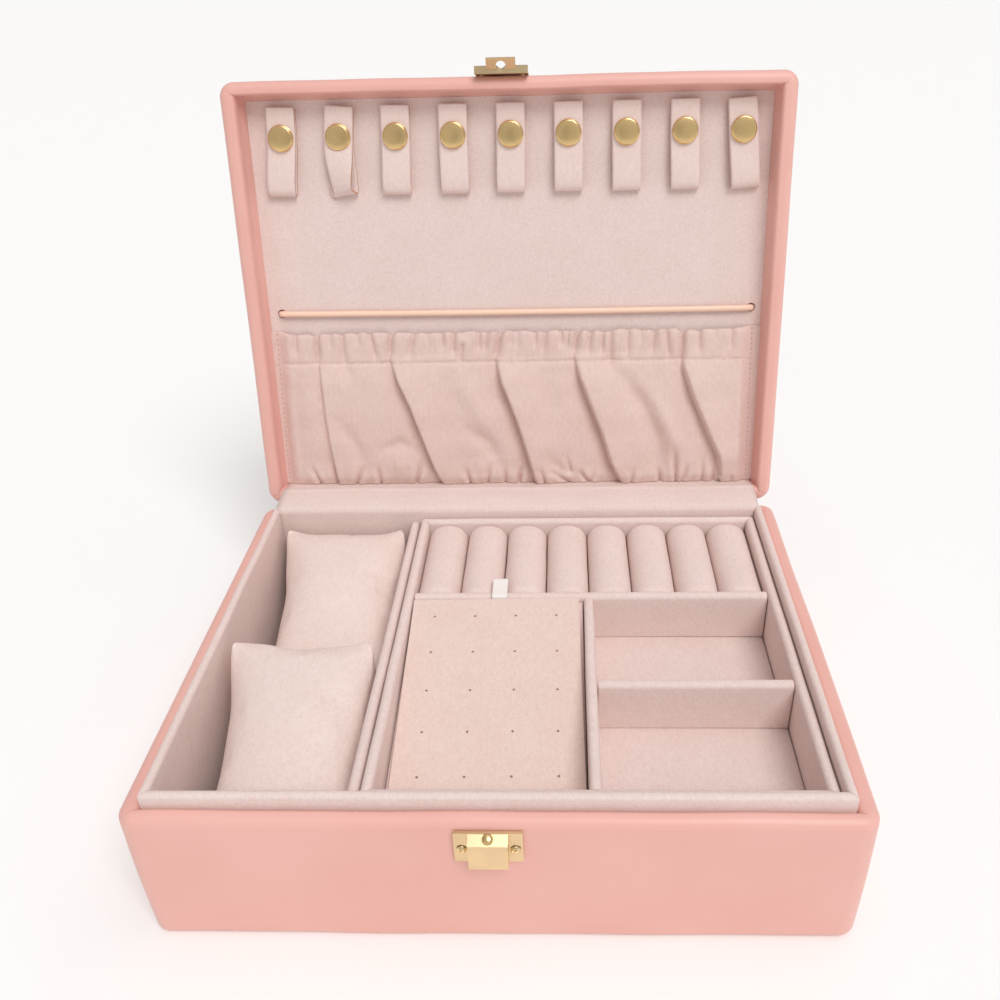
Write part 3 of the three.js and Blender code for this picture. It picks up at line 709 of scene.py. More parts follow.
def coveredFloor(nodeName, pieceName, material, body, crown=0.25 * mm):
    # a thin covered board: rounded rectangles up its edge, then in to the middle with a slight crown
    (x0, y0, z0), (x1, y1, z1) = cadBox(nodeName)
    half = min(x1 - x0, y1 - y0) / 2
    edge = 0.6 * mm
    turn = quarterTurn(4)
    inset = np.concatenate([
        [half - 0.2 * mm, half * 0.5, 0.0], edge * (1 - np.cos(turn)),
        edge + (half - 0.2 * mm - edge) * np.array([0.04, 0.15, 0.35, 0.6, 0.8, 1.0]),
    ])
    lift = crown * np.sin(np.clip(inset / half, 0, 1) * np.pi / 2)
    z = np.concatenate([[z0, z0, z0], z1 - crown - edge * (1 - np.sin(turn)), np.full(6, z1 - crown)])
    z[3:] += lift[3:]
    points, _ = roundedRings(x0 + inset, x1 - inset, y0 + inset, y1 - inset, 0.3 * mm, z, 4, 20)
    rows, cols = points.shape[:2]
    faces = list(gridFaces(rows, cols, closeCols=True))
    faces.append(np.arange(cols)[::-1])
    faces.append(np.arange(cols) + (rows - 1) * cols)
    mesh = meshOf(pieceName, points, faces)
    finishMesh(mesh, 60)
    return addPiece(pieceName, mesh, material, body, [nodeName])


coveredFloor("liner_floor", "lining_floor", boardSuede, "base")
coveredFloor("tray_floor", "tray_base", boardSuede, "tray")
print("wrapped boards made")

# ---- pieces refined from the CAD shape ----
def refined(nodeName, pieceName, material, body, bevel, segments=3, angle=35):
    # the node's own shape with its doubles merged, its flats joined and its edges rounded
    mesh = frame["nodes"][nodeName].data.copy()
    mesh.name = pieceName
    mesh.materials.clear()
    work = bmesh.new()
    work.from_mesh(mesh)
    bmesh.ops.remove_doubles(work, verts=work.verts, dist=1e-6)
    bmesh.ops.dissolve_limit(work, angle_limit=np.radians(1.0), verts=work.verts, edges=work.edges)
    bmesh.ops.recalc_face_normals(work, faces=work.faces)
    work.to_mesh(mesh)
    work.free()
    piece = addPiece(pieceName, mesh, material, body, [nodeName])
    addModifier(
        piece, "BEVEL", width=bevel, segments=segments, limit_method="ANGLE", angle_limit=np.radians(angle),
        use_clamp_overlap=True, harden_normals=True,
    )
    mesh.shade_smooth()
    mesh.set_sharp_from_angle(angle=np.radians(30))
    return piece


refined("lid_lining_panel", "lid_panel", liningSuede, "lid", 0.7 * mm)
refined("plate_ledge", "plate_support", boardSuede, "tray", 0.5 * mm, 2)
refined("earring_plate", "earring_board", plateSuede, "plate", 0.35 * mm, 2)
refined("clasp_body", "clasp_lower", satinGold, "base", 0.3 * mm)
refined("hasp_plate", "clasp_upper", satinGold, "lid", 0.3 * mm)
for side in ("left", "right"):
    for part in ("hinge_leaf_base", "hinge_leaf_lid", "hinge_pin"):
        node = frame["nodes"][f"{part}_{side}"]
        node.data.materials.clear()
        node.data.materials.append(hingeBrass)
print("refined pieces made")

# ---- ring rolls ----
rollShape = {
    "endRound": 3.2 * mm,
    "squareness": 2.25,   # 2 is a round top, more is flatter
    "waver": 0.22 * mm,
}


def ringRoll(index, look=rollShape):
    # section: a superellipse arch on straight sides, carried along Y and drawn in at both ends
    node = f"ring_roll_{index}"
    (x0, y0, z0), (x1, y1, z1) = cadBox(node)
    middle, half = (x0 + x1) / 2, (x1 - x0) / 2
    spring = z1 - half
    power = 2 / look["squareness"]
    angle = np.linspace(0, np.pi, 33)
    archX = np.sign(np.cos(angle)) * np.abs(np.cos(angle)) ** power * half
    archZ = spring + np.sin(angle) ** power * half
    side = np.linspace(spring, z0, 8)[1:]
    sectionX = np.concatenate([archX, np.full(7, -half), np.full(7, half)])
    sectionZ = np.concatenate([archZ, side, side[::-1]])
    turn = quarterTurn(6)
    bend = look["endRound"]
    inner = np.linspace(y0 + bend, y1 - bend, 18)
    stops = np.concatenate([y0 + bend * (1 - np.sin(turn[::-1])), inner[1:-1],
        y1 - bend * (1 - np.sin(turn))])
    shrink = np.concatenate([bend * (1 - np.cos(turn[::-1])), np.zeros(16), bend * (1 - np.cos(turn))])
    squeeze = 1 - shrink[:, None] / half * 0.55
    x = middle + sectionX[None, :] * squeeze
    z = z0 + (sectionZ[None, :] - z0) * (1 - shrink[:, None] / (z1 - z0) * 0.9)
    y = np.broadcast_to(stops[:, None], x.shape)
    points = np.stack([x, y, z], -1)
    top = smoothStep(spring, z1, z)
    points[..., 2] += (unevenness(points, 26 * mm, 20 + index) * look["waver"] - 0.2 * mm) * top
    points[..., 0] += unevenness(points, 40 * mm, 40 + index) * 0.1 * mm
    spots, faces = joinGrids([points])
    mesh = meshOf(f"roll_{index}", spots, faces)
    finishMesh(mesh, 70)
    piece = addPiece(f"roll_{index}", mesh, liningSuede, "tray", [node])
    return piece


for rollIndex in range(1, 9):
    ringRoll(rollIndex)
print("ring rolls made")

# ---- watch pillows ----
pillowShape = {
    "taper": 8.0 * mm,      # left side further in at the front
    "pullLeft": 4.4 * mm,   # sides drawn in between the corners
    "pullRight": 1.8 * mm,
    "pullEnds": 2.6 * mm,
    "ear": 3.2 * mm,        # rear corners above the rear edge
    "blunt": 3.4 * mm,      # corners rounded off
    "crown": 14.0 * mm,     # middle of the top above the seam
    "pressure": 2.5,
    "frames": 18,
    "limit": 3 * mm,
    # short creases by the partition and a dimple: a line over the cloth, depth and half width
    "creases": (
        (((0.98, 0.36), (0.7, 0.22)), 1.3, 0.055), (((1.0, 0.05), (0.76, 0.02)), 1.0, 0.05),
        (((0.98, -0.3), (0.8, -0.26)), 0.8, 0.05), (((0.6, 0.3), (0.52, 0.24)), 1.2, 0.09),
        (((-0.98, 0.2), (-0.82, 0.16)), 0.8, 0.05), (((-0.98, -0.35), (-0.85, -0.3)), 0.7, 0.05),
        (((0.1, 0.99), (0.06, 0.86)), 0.8, 0.05),
    ),
}


def pillowPoints(low, high, rear, front, look):
    # u and v run from -1 to 1 over the cloth. The outline tapers and is drawn in between its corners. The
    # seam rises from front to rear with raised rear corners; the top stands over it as a root of
    # (1-u^p)(1-v^p), and the underside hangs down the same way until it rests.
    x0, y0, z0 = low
    x1, y1, z1 = high
    u = np.sin(np.linspace(-1, 1, 65) * np.pi / 2)[None, :]
    v = np.sin(np.linspace(-1, 1, 77) * np.pi / 2)[:, None]
    left = x0 + look["taper"] * (1 - v) / 2 + look["pullLeft"] * (1 - v**2)
    right = x1 - look["pullRight"] * (1 - v**2)
    x = left + (right - left) * (u + 1) / 2
    ends = look["pullEnds"] * (1 - u**2)
    y = (y0 + ends) * (1 - v) / 2 + (y1 - ends) * (1 + v) / 2
    seam = front + (rear - front) * (1 + v) / 2 + look["ear"] * (u * v) ** 4 * (v > 0)
    seam -= 1.2 * mm * (1 - u**2) * v**2
    corner = look["blunt"] * np.abs(u * v) ** 9
    x, y = x - np.sign(u) * corner, y - np.sign(v) * corner
    fullness = (1 - np.abs(u) ** 2.2) * (1 - np.abs(v) ** 2.2)
    top = seam + look["crown"] * (1 - 0.42 * v) * fullness**0.46
    across, along = np.broadcast_arrays(u, v)
    for line, deep, width in look["creases"]:
        gap, _, run = beside(across, along, line)
        top -= deep * mm * np.exp(-((gap / width) ** 2)) * fullness**0.3
    under = np.maximum(seam - (seam - z0) * 1.06 * fullness**0.3, z0)
    flat = np.broadcast_to(x, fullness.shape), np.broadcast_to(y, fullness.shape)
    return np.stack([*flat, top], -1), np.stack([*flat, under], -1)


def puffUp(piece, look):
    # cloth with inner pressure and no gravity; each point may move only so far
    mesh = piece.data
    before = np.zeros(len(mesh.vertices) * 3, np.float32)
    mesh.vertices.foreach_get("co", before)
    cloth = piece.modifiers.new("cloth", "CLOTH")
    cloth.settings.use_pressure = True
    cloth.settings.uniform_pressure_force = look["pressure"]
    cloth.settings.effector_weights.gravity = 0
    cloth.settings.quality = 5
    cloth.settings.tension_stiffness = 20
    cloth.settings.compression_stiffness = 20
    cloth.settings.bending_stiffness = 0.4
    cloth.point_cache.frame_start = 1
    cloth.point_cache.frame_end = look["frames"]
    for step in range(1, look["frames"] + 1):
        scene.frame_set(step)
    posed = piece.evaluated_get(bpy.context.evaluated_depsgraph_get())
    after = np.zeros(len(mesh.vertices) * 3, np.float32)
    posed.data.vertices.foreach_get("co", after)
    piece.modifiers.remove(cloth)
    scene.frame_set(1)
    move = (after - before).reshape(-1, 3)
    far = np.linalg.norm(move, axis=1, keepdims=True)
    move *= np.minimum(1, look["limit"] / np.maximum(far, 1e-9))
    print("pillow moved by", round(float(far.mean() / mm), 2), "mm, most", round(float(far.max() / mm), 2))
    return before.reshape(-1, 3) + move


def watchPillow(nodeName, pieceName, body, rear, front, seed):
    low, high = cadBox(nodeName)
    low, high = low + 0.6 * mm, high - np.array([0.6, 0.6, 0.0]) * mm
    top, under = pillowPoints(low, high, rear, front, pillowShape)
    for side in (top, under):
        side += unevenness(side, 34 * mm, seed)[..., None] * np.array([0.3, 0.3, 0.5]) * mm
    rows, cols = top.shape[:2]
    spots = np.concatenate([top.reshape(-1, 3), under.reshape(-1, 3)])
    faces = np.concatenate([gridFaces(rows, cols), gridFaces(rows, cols, first=rows * cols)[:, ::-1]])
    mesh = meshOf(pieceName, spots, list(faces))
    work = bmesh.new()
    work.from_mesh(mesh)
    bmesh.ops.remove_doubles(work, verts=work.verts, dist=5e-5)
    bmesh.ops.recalc_face_normals(work, faces=work.faces)
    work.to_mesh(mesh)
    work.free()
    mesh.shade_smooth()
    piece = addPiece(pieceName, mesh, pillowSuede)
    puffed = puffUp(piece, pillowShape)
    puffed = np.clip(puffed, low - 0.3 * mm, high + np.array([0.3, 0.3, 6]) * mm)
    mesh.vertices.foreach_set("co", puffed.astype(np.float32).ravel())
    mesh.update()
    addModifier(piece, "SUBSURF", levels=1, render_levels=1)
    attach(piece, body)
    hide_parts(nodeName)
    return piece


watchPillow("pillow_front", "cushion_front", "front_cushion", 64.0 * mm, 33 * mm, 61)
watchPillow("pillow_rear", "cushion_rear", "rear_cushion", 59.0 * mm, 32 * mm, 62)
print("pillows made")


# ---- sheets along a path ----
def smoothPath(points, spacing):
    # Catmull-Rom curve through the points, then steps of even length along it
    knots = np.array(points, float)
    ends = np.concatenate([[2 * knots[0] - knots[1]], knots, [2 * knots[-1] - knots[-2]]])
    share = np.linspace(0, 1, 24, endpoint=False)[:, None]
    pieces = []
    for i in range(len(knots) - 1):
        a, b, c, d = ends[i:i + 4]
        pieces.append(0.5 * (
            2 * b + (c - a) * share + (2 * a - 5 * b + 4 * c - d) * share**2
            + (3 * b - a - 3 * c + d) * share**3
        ))
    line = np.concatenate([*pieces, knots[-1:]])
    run = np.concatenate([[0], np.cumsum(np.linalg.norm(np.diff(line, axis=0), axis=1))])
    count = max(2, int(run[-1] / spacing)) + 1
    even = np.linspace(0, run[-1], count)
    return np.stack([np.interp(even, run, axis) for axis in line.T], -1), even


def sheetAlongX(name, path, xs, spacing, material, thickness, cols):
    # a flat sheet whose side view is the path, spanning xs, with its own map in metres
    line, run = smoothPath(path, spacing)
    across = np.linspace(*xs, cols)
    points = np.zeros((len(line), cols, 3))
    points[..., 0] = across[None, :]
    points[..., 1:] = line[:, None, :]
    flat = np.stack(np.broadcast_arrays(across[None, :], run[:, None]), -1)
    mesh = meshOf(name, points, list(gridFaces(len(line), cols)), flat)
    mesh.shade_smooth()
    piece = addPiece(name, mesh, material)
    addModifier(piece, "SOLIDIFY", thickness=thickness, offset=0.0)
    return piece, points, run[-1]


wellBack = linerHigh[1] - linerThickness
flapLow, flapHigh = cadBox("hinge_flap")
flapTop = linerHigh[2]
innerRim = lidHigh[1] - lidWalls[3]
rimZ = lidLow[2]
flapShape = {
    "width": flapHigh[0] - flapLow[0],
    "thickness": 0.7 * mm,
    "start": 12 * mm,         # height inside the well where the fabric begins
}


def lidLine(y, z):
    return tuple(opened((0, y, z))[1:])


flapPath = [
    (wellBack + 0.4 * mm, flapShape["start"]),
    (wellBack + 0.4 * mm, 30 * mm),
    (wellBack + 0.4 * mm, 55 * mm),
    (wellBack + 0.4 * mm, flapTop - 3.0 * mm),
    (wellBack + 0.8 * mm, flapTop - 1.1 * mm),
    (wellBack + 1.7 * mm, flapTop - 0.1 * mm),
    (wellBack + 3.4 * mm, flapTop + 0.35 * mm),
    (wellBack + 10.0 * mm, flapTop + 0.9 * mm),
    (wellBack + 17.0 * mm, flapTop + 0.9 * mm),
    lidLine(innerRim - 1.0 * mm, rimZ - 0.6 * mm),
    lidLine(innerRim - 0.6 * mm, rimZ + 2.5 * mm),
    lidLine(innerRim - 0.5 * mm, panelFace - 1.8 * mm),
    lidLine(innerRim - 1.3 * mm, panelFace - 0.6 * mm),
]
flap, flapPoints, flapLength = sheetAlongX(
    "fabric_flap", flapPath, (flapLow[0], flapHigh[0]), 0.8 * mm, flapSuede, flapShape["thickness"], 64
)
ripple = unevenness(flapPoints, 90 * mm, 12) * 0.2 * mm
onBridge = smoothStep(0, 4 * mm, flapPoints[..., 1] - linerHigh[1]) * smoothStep(
    0, 6 * mm, 117 * mm - flapPoints[..., 1])
flapPoints[..., 2] += ripple * onBridge
flap.data.vertices.foreach_set("co", flapPoints.astype(np.float32).ravel())
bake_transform(flap)
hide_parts("hinge_flap")

spineLow, spineHigh = cadBox("leather_spine")
spineY = baseHigh[1] + 1.9 * mm
spinePath = [
    (spineY, spineLow[2]),
    (spineY, 50 * mm),
    (spineY + 0.1 * mm, 57 * mm),
    (spineY + 3 * mm, 60.9 * mm),
    lidLine(spineY, rimZ + 6 * mm),
    lidLine(spineY, rimZ + 14 * mm),
    lidLine(spineY, rimZ + 22 * mm),
]
spine, _, spineLength = sheetAlongX(
    "spine_leather", spinePath, (spineLow[0], spineHigh[0]), 0.8 * mm, spineLeather, 1.0 * mm, 48
)
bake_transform(spine)
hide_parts("leather_spine")
print("flap", round(flapLength, 4), "spine", round(spineLength, 4))

# ---- gathered pocket ----
pocketShape = {
    "top": 14.6,            # all in millimetres over the closed lid's panel: the gathered edge,
    "casing": 29.8,         # the stitched line under the elastic,
    "bottom": 96.0,         # and the seam at the hinge side
    "thickness": 0.7 * mm,
    "columns": 460,
    "rows": 106,
    "belly": 2.4,           # slack of the cloth off the panel
    # long creases, each a line of places with the height of its right side and the depth of its left
    "creases": (
        (((-102.3, 14), (-102.4, 29.5), (-101.3, 44.6), (-100.9, 59), (-99.5, 77.5), (-97.9, 96)), 1.8,
            1.8),
        (((-62.8, 14), (-65.1, 27.4), (-61.9, 37.9), (-55.8, 52.3), (-49.1, 73.4), (-44.5, 87.5), (-41,
            96)), 3.4, 2.6),
        (((-6.6, 14), (-10, 28.1), (-7, 41.2), (-0.4, 58.3), (5.5, 78.6), (9.8, 96)), 3.7, 2.9),
        (((32.9, 14), (30.7, 26.9), (33.3, 37.3), (39.4, 53.4), (44.7, 67), (50.2, 84.6), (55.7, 96)),
            3.5, 2.8),
        (((86.4, 14), (86.6, 32.8), (91.4, 46.8), (100.1, 66.7), (107, 81.4), (108.8, 92)), 3.0, 2.4),
    ),
    # soft furrows: a line of places, depth, half width
    "furrows": (
        (((50.5, 30.6), (61, 42.9), (70, 56.4), (74.4, 71.9), (76.8, 94.2)), 2.0, 5.5),
        (((-93.4, 60), (-85.2, 74.9), (-82.4, 86)), 1.2, 4.0),
        (((-25, 66), (-15, 72), (-9.5, 84)), 1.3, 4.0),
        (((-72, 76), (-62, 73), (-53, 77)), 1.1, 3.5),
        (((-118, 34), (-117, 60), (-118, 90)), 1.3, 5.0),
        (((-90, 30), (-84, 40)), 0.9, 4.0),
        (((12, 32), (17, 44), (20, 60)), 0.7, 6.0),
        (((16, 80), (24, 88), (32, 92)), 1.0, 3.5),
        (((100, 36), (112, 60)), 0.4, 6.0),
    ),
    # soft ridges: a line of places, height, half width
    "ridges": (
        (((57.4, 34), (68.9, 47.5), (76.2, 59.2), (83.6, 72), (90, 84)), 1.6, 5.0),
        (((-30, 36), (-24, 46), (-16, 60), (-12, 68)), 1.1, 6.0),
        (((-106, 32), (-105, 60), (-104, 88)), 0.8, 4.5),
        (((-67, 84), (-60, 84)), 0.9, 6.0),
        (((-20, 80), (-19, 90)), 0.8, 5.0),
    ),
    # gathers in the casing: place and height at the top, place and height at the lower end, depth
    "gathers": (
        (-113.0, 15, -114.1, 27.6, 1.3), (-102.3, 14, -102.4, 33, 2.4), (-95.1, 15, -95.5, 23.5, 0.7),
        (-88.9, 14, -88.6, 33, 1.4), (-81.1, 14, -81.2, 22, 0.8), (-74.5, 16, -71.8, 30, 1.5),
        (-63, 14, -65.3, 30, 2.4), (-51.2, 15, -55.4, 30, 1.5), (-44.5, 14, -44.8, 21, 0.6),
        (-37.1, 14, -37.2, 25, 1.1), (-30.7, 14, -31.8, 29, 1.7), (-26.6, 24, -28.6, 31, 1.0),
        (-17.7, 14, -18.2, 27, 1.6), (-13.5, 14, -15.3, 27, 1.5), (-6.6, 14, -10, 31, 2.5),
        (-0.4, 15, -2.3, 23, 0.9), (2.2, 14, 1.7, 25, 0.8), (11.1, 14, 11, 24, 1.0), (16.5, 14, 14.9,
            28, 1.4),
        (24.3, 15, 24.7, 24, 1.3), (28.4, 15, 27.3, 27, 1.3), (33, 14, 30.6, 29, 2.3), (39.5, 15, 38.2,
            29, 1.4),
        (46.2, 14, 45, 29, 1.5), (49.9, 18, 49.6, 35, 1.3), (58.6, 14, 58.6, 31, 1.0), (65.4, 14, 65,
            22, 0.6),
        (72.6, 14, 70.8, 29, 1.4), (78.2, 18, 80.2, 31, 1.2), (86.4, 14, 86.6, 34, 2.3),
        (94.8, 15, 95.4, 29, 1.2), (103, 14, 103, 20, 0.5), (111.6, 15, 111, 27, 0.8),
    ),
    # pleats in the bottom seam, written the same way
    "pleats": (
        (-112.3, 83, -107.4, 96, 1.3), (-99.2, 79.9, -98.3, 96, 1.2), (-82.2, 83.8, -87.6, 96, 1.7),
        (-75.1, 82.9, -74.4, 96, 1.4), (-50.2, 80.3, -55, 96, 1.9), (-28.2, 84.3, -25.2, 96, 1.5),
        (-14.2, 82.6, -16, 96, 1.4), (-7, 83.6, -6.4, 96, 1.2), (1.7, 85.5, 1.1, 96, 1.4), (4.6, 83.7,
            0.6, 96, 1.0),
        (12.1, 84.7, 15.1, 96, 1.3), (14.4, 86.6, 28.6, 96, 1.1), (26, 77, 29, 89, 0.9), (31.4, 86.8,
            38.8, 96, 1.4),
        (40.9, 88.7, 40, 96, 0.9), (63.3, 85.2, 61.6, 96, 1.3), (76, 86, 77.2, 96, 1.5), (83.8, 71.5,
            85.7, 96, 1.6),
        (92.8, 84, 88.8, 96, 1.4), (99.4, 76.2, 99.6, 96, 1.2), (106.7, 84, 105.8, 96, 1.3), (114.7,
            89.4, 115.3, 96, 0.7),
    ),
}


def pocketStand(xMetres, yMetres, look=pocketShape):
    # how far the cloth stands off the panel: a slack belly, gathers in the casing, pleats in the bottom
    # seam, long creases whose right side laps over the left, and soft furrows and ridges between them
    x, y = xMetres / mm, yMetres / mm
    casing, bottom = look["casing"], look["bottom"]
    down = np.clip((y - casing) / (bottom - casing), 0, 1)
    hang = look["belly"] * np.sin(np.pi * down**0.9) ** 0.7
    stand = 3.8 + hang
    for line, high, deep in look["creases"]:
        gap, side, run = beside(x, y, line)
        left = -1.2 * deep * np.exp(-((gap / 6.0) ** 1.3))
        right = 1.25 * high * smoothStep(-0.6, 1.6, gap) * np.exp(-((np.maximum(gap - 1.6,
            0) / 15.0) ** 1.4))
        right -= 1.2 * deep * (1 - smoothStep(0.0, 1.6, gap))
        unfolded = smoothStep(0.1, 0.34, run) * (1 - 0.45 * smoothStep(0.86, 1.0, run))
        stand += np.where(side > 0, right, left) * unfolded
    for sign, kind in ((-1, "furrows"), (1, "ridges")):
        for line, size, width in look[kind]:
            gap, side, run = beside(x, y, line)
            stand += 1.5 * sign * size * np.exp(-((gap / width) ** 2)) * np.sin(np.pi * np.clip(run,
                0.08, 0.92)) ** 0.6
    stand += unevenness(np.stack([x, y, 0 * x], -1), 26.0, 9) * 0.35 * smoothStep(0, 0.15, down)
    for topX, topY, lowX, lowY, depth in look["gathers"]:
        gap, side, run = beside(x, y, ((topX, topY - 3), (lowX, lowY)))
        width = 0.6 + 0.35 * depth + 1.3 * run
        stand -= 1.35 * depth * np.exp(-((gap / width) ** 1.5)) * (1 - smoothStep(0.65, 1.0, run) * 0.8)
        stand += 0.5 * depth * np.exp(-(((gap - 2.6) / 1.6) ** 2)) * (1 - run)
    for topX, topY, lowX, lowY, depth in look["pleats"]:
        gap, side, run = beside(x, y, ((topX, topY), (lowX, lowY)))
        width = 0.7 + 1.5 * (1 - run)
        stand -= 1.3 * depth * np.exp(-((gap / width) ** 1.6)) * smoothStep(0.0, 0.7, run)
        stand += 0.6 * depth * np.exp(-(((gap - 2.6) / 1.8) ** 2)) * smoothStep(0.1, 0.9, run)
    stand -= 0.75 * np.exp(-(((y - casing) / 0.8) ** 2))
    stand -= 1.3 * smoothStep(bottom - 5, bottom, y)
    inside = smoothStep(0, 7.0, np.minimum(x - pocketSeam("left", y), pocketSeam("right", y) - x))
    return np.clip(1.0 + (stand - 1.0) * inside, 0.5, 10.5) * mm


def pocketSeam(side, y):
    # side stitching in millimetres, slanting slightly outwards to the bottom
    share = (y - pocketShape["top"]) / (pocketShape["bottom"] - pocketShape["top"])
    return -123.0 - 2.2 * share if side == "left" else 122.0 + 1.3 * share


def pocketEdge(x, look=pocketShape):
    # the gathered edge, in millimetres: it dips at every gather and rises to the plain side margins
    edge = np.full_like(x, look["top"])
    for topX, topY, lowX, lowY, depth in look["gathers"]:
        edge += 0.62 * depth * np.exp(-(((x - topX) / (0.9 + 0.6 * depth)) ** 2))
        edge -= 0.2 * depth * np.exp(-(((np.abs(x - topX) - 3.4) / 2.2) ** 2))
    edge += unevenness(np.stack([x, 0 * x, 0 * x], -1), 21.0, 31) * 0.5
    inside = smoothStep(0, 6, np.minimum(x + 122, 121 - x))
    return look["top"] - 1.4 + (edge - look["top"] + 1.4) * inside


def makePocket(look=pocketShape):
    half = ((panelHigh[0] - panelLow[0]) / 2 - 0.4 * mm) / mm
    x = np.linspace(-half, half, look["columns"])[None, :]
    v = np.linspace(0, 1, look["rows"])[:, None]
    edge = pocketEdge(x)
    y = edge + (look["bottom"] - edge) * v
    x = np.broadcast_to(x, y.shape)
    stand = pocketStand(x * mm, y * mm) - 1.2 * mm * np.exp(-(y - edge) / 1.1)
    stand = np.maximum(stand, 0.5 * mm)
    flat = np.stack([x, y], -1) * mm
    mesh = meshOf("gathered_pocket", onPanel(x * mm, y * mm, stand), list(gridFaces(*y.shape)), flat)
    mesh.shade_smooth()
    # the pocket takes the darker suede, whose colour is painted shade
    piece = addPiece("gathered_pocket", mesh, pocketSuede, "lid", ["lid_pocket"])
    addModifier(piece, "SOLIDIFY", thickness=look["thickness"], offset=0.0)
    return piece


makePocket()


def stitchRow(spots, ways, normals, length, radius):
    # one small rounded stitch for each spot: a six-sided rod with drawn-in ends along its way
    turn = np.arange(6) / 6 * 2 * np.pi
    along = np.array([-0.5, -0.42, 0.0, 0.42, 0.5]) * length
    girth = np.array([0.25, 0.8, 1.0, 0.8, 0.25]) * radius
    sideways = np.cross(ways, normals)
    rods = (
        spots[:, None, None, :]
        + along[None, :, None, None] * ways[:, None, None, :]
        + girth[None, :, None, None] * (
            np.cos(turn)[None, None, :, None] * sideways[:, None, None, :]
            + np.sin(turn)[None, None, :, None] * normals[:, None, None, :]
        )
    )
    return joinGrids(list(rods))


def pocketStitches():
    pitch = 2.6 * mm
    across = np.arange(-121.0, 121.0, pitch / mm)
    rows = [np.stack([across, np.full_like(across, pocketShape["casing"])], -1) * mm]
    down = np.arange(pocketShape["top"], pocketShape["bottom"] - 1, pitch / mm)
    for side in ("left", "right"):
        rows.append(np.stack([pocketSeam(side, down), down], -1) * mm)
    spots = np.concatenate(rows)
    ahead = np.concatenate([row + np.gradient(row, axis=0) * 0.25 for row in rows])
    behind = np.concatenate([row - np.gradient(row, axis=0) * 0.25 for row in rows])

    def raised(flat):
        return onPanel(flat[:, 0], flat[:, 1], pocketStand(flat[:, 0], flat[:, 1]) + 0.32 * mm)

    middle, front, rear = raised(spots), raised(ahead), raised(behind)
    ways = front - rear
    ways /= np.linalg.norm(ways, axis=1, keepdims=True)
    outward = opened((0, 0, -1.0)) - opened((0, 0, 0.0))
    normals = np.broadcast_to(outward, ways.shape)
    points, faces = stitchRow(middle, ways, normals, 1.15 * mm, 0.17 * mm)
    mesh = meshOf("pocket_stitches", points, faces)
    finishMesh(mesh, 70)
    return addPiece("pocket_stitches", mesh, brownThread, "lid")


pocketStitches()
print("pocket made")

# ---- strap loops and snap caps ----
strapShape = {
    "width": 13.6 * mm,
    "thickness": 0.9 * mm,
    "capStand": 4.2 * mm,       # front of the strap under the cap
    # each loop's lean in degrees, sideways shift of its fold, how far it bows out and its twist
    "styles": (
        (1.8, -1.6, 0.8, 0.0),
        (5.0, 2.4, 2.2, 0.8),
        (1.2, -0.4, 0.6, 0.0),
        (0.8, 0.4, 0.5, 0.03),
        (0.2, -0.4, 0.4, -0.03),
        (-0.2, -0.2, 0.9, 0.0),
        (0.0, 0.3, 0.5, 0.03),
        (-0.6, 0.6, 0.4, 0.0),
        (-4.2, 0.4, 0.5, -0.05),
    ),
}
capShape = {"radius": 6.2 * mm, "height": 2.3 * mm}


def strapLoop(index, style, look=strapShape):
    # a band that runs down from its free end under the cap, turns at the fold and goes up behind
    lean, shift, bow, twist = style
    low, high = closedBox(f"strap_{index}")
    capLow, capHigh = closedBox(f"snap_cap_{index}")
    centre = (low[0] + high[0]) / 2
    snapY = (capLow[1] + capHigh[1]) / 2
    top, fold = low[1], high[1]
    face = look["capStand"] - look["thickness"] / 2
    path = [
        (top, face - 0.7 * mm),
        (top + 6 * mm, face - 0.3 * mm),
        (snapY, face),
        (snapY + 7 * mm, face + 0.2 * mm + bow * mm * 0.6),
        (fold - 9 * mm, face + 0.4 * mm + bow * mm),
        (fold - 2.6 * mm, face + 0.1 * mm + bow * mm * 0.6),
        (fold - 0.4 * mm, face - 1.6 * mm),
        (fold - 3.0 * mm, 0.75 * mm),
        (fold - 10 * mm, 0.6 * mm),
        (snapY, 0.6 * mm),
        (top + 1.0 * mm, 0.6 * mm),
    ]
    line, run = smoothPath(path, 0.7 * mm)
    across = np.linspace(-0.5, 0.5, 13)[None, :] * look["width"]
    y, stand = line[:, :1], line[:, 1:]
    down = smoothStep(snapY, fold, y)
    angle = np.radians(lean)
    front = smoothStep(0.8 * mm, 3.2 * mm, stand)
    turned = twist * down * front
    rest = across * np.cos(turned)
    x = centre + rest + (y - snapY) * -np.sin(angle) + shift * mm * down
    slant = y + across * np.sin(angle) - across * 0.5 * np.sin(turned)
    cup = -0.25 * mm * (2 * across / look["width"]) ** 2 * front
    height = stand + cup + across * np.sin(turned) * 0.5
    points = onPanel(x, slant, np.maximum(height, 0.5 * mm))
    flat = np.stack(np.broadcast_arrays(across + 0.05 * index, run[:, None]), -1)
    mesh = meshOf(f"strap_loop_{index}", points, list(gridFaces(*x.shape)), flat)
    mesh.shade_smooth()
    piece = addPiece(f"strap_loop_{index}", mesh, strapSuede)
    # the strap's cut edges take the darker brown suede, painted shade along its sides
    mesh.materials.append(strapEdge)
    addModifier(piece, "SOLIDIFY", thickness=look["thickness"], offset=0.0, material_offset_rim=1)
    leafStart = onPanel(centre, fold, 1.25 * mm)
    leafEnd = onPanel(centre, fold, 2.2 * mm)
    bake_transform(piece)
    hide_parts(f"strap_{index}")
    snapParts(index, centre, snapY)


def turnedShape(profile, sides=40):
    # a profile of distance from the axis and height, turned about the axis, as rows of points
    angle = np.arange(sides) / sides * 2 * np.pi
    radius, height = np.array(profile, float).T
    return radius[:, None] * np.cos(angle), radius[:, None] * np.sin(angle), height[:, None] + 0 * angle


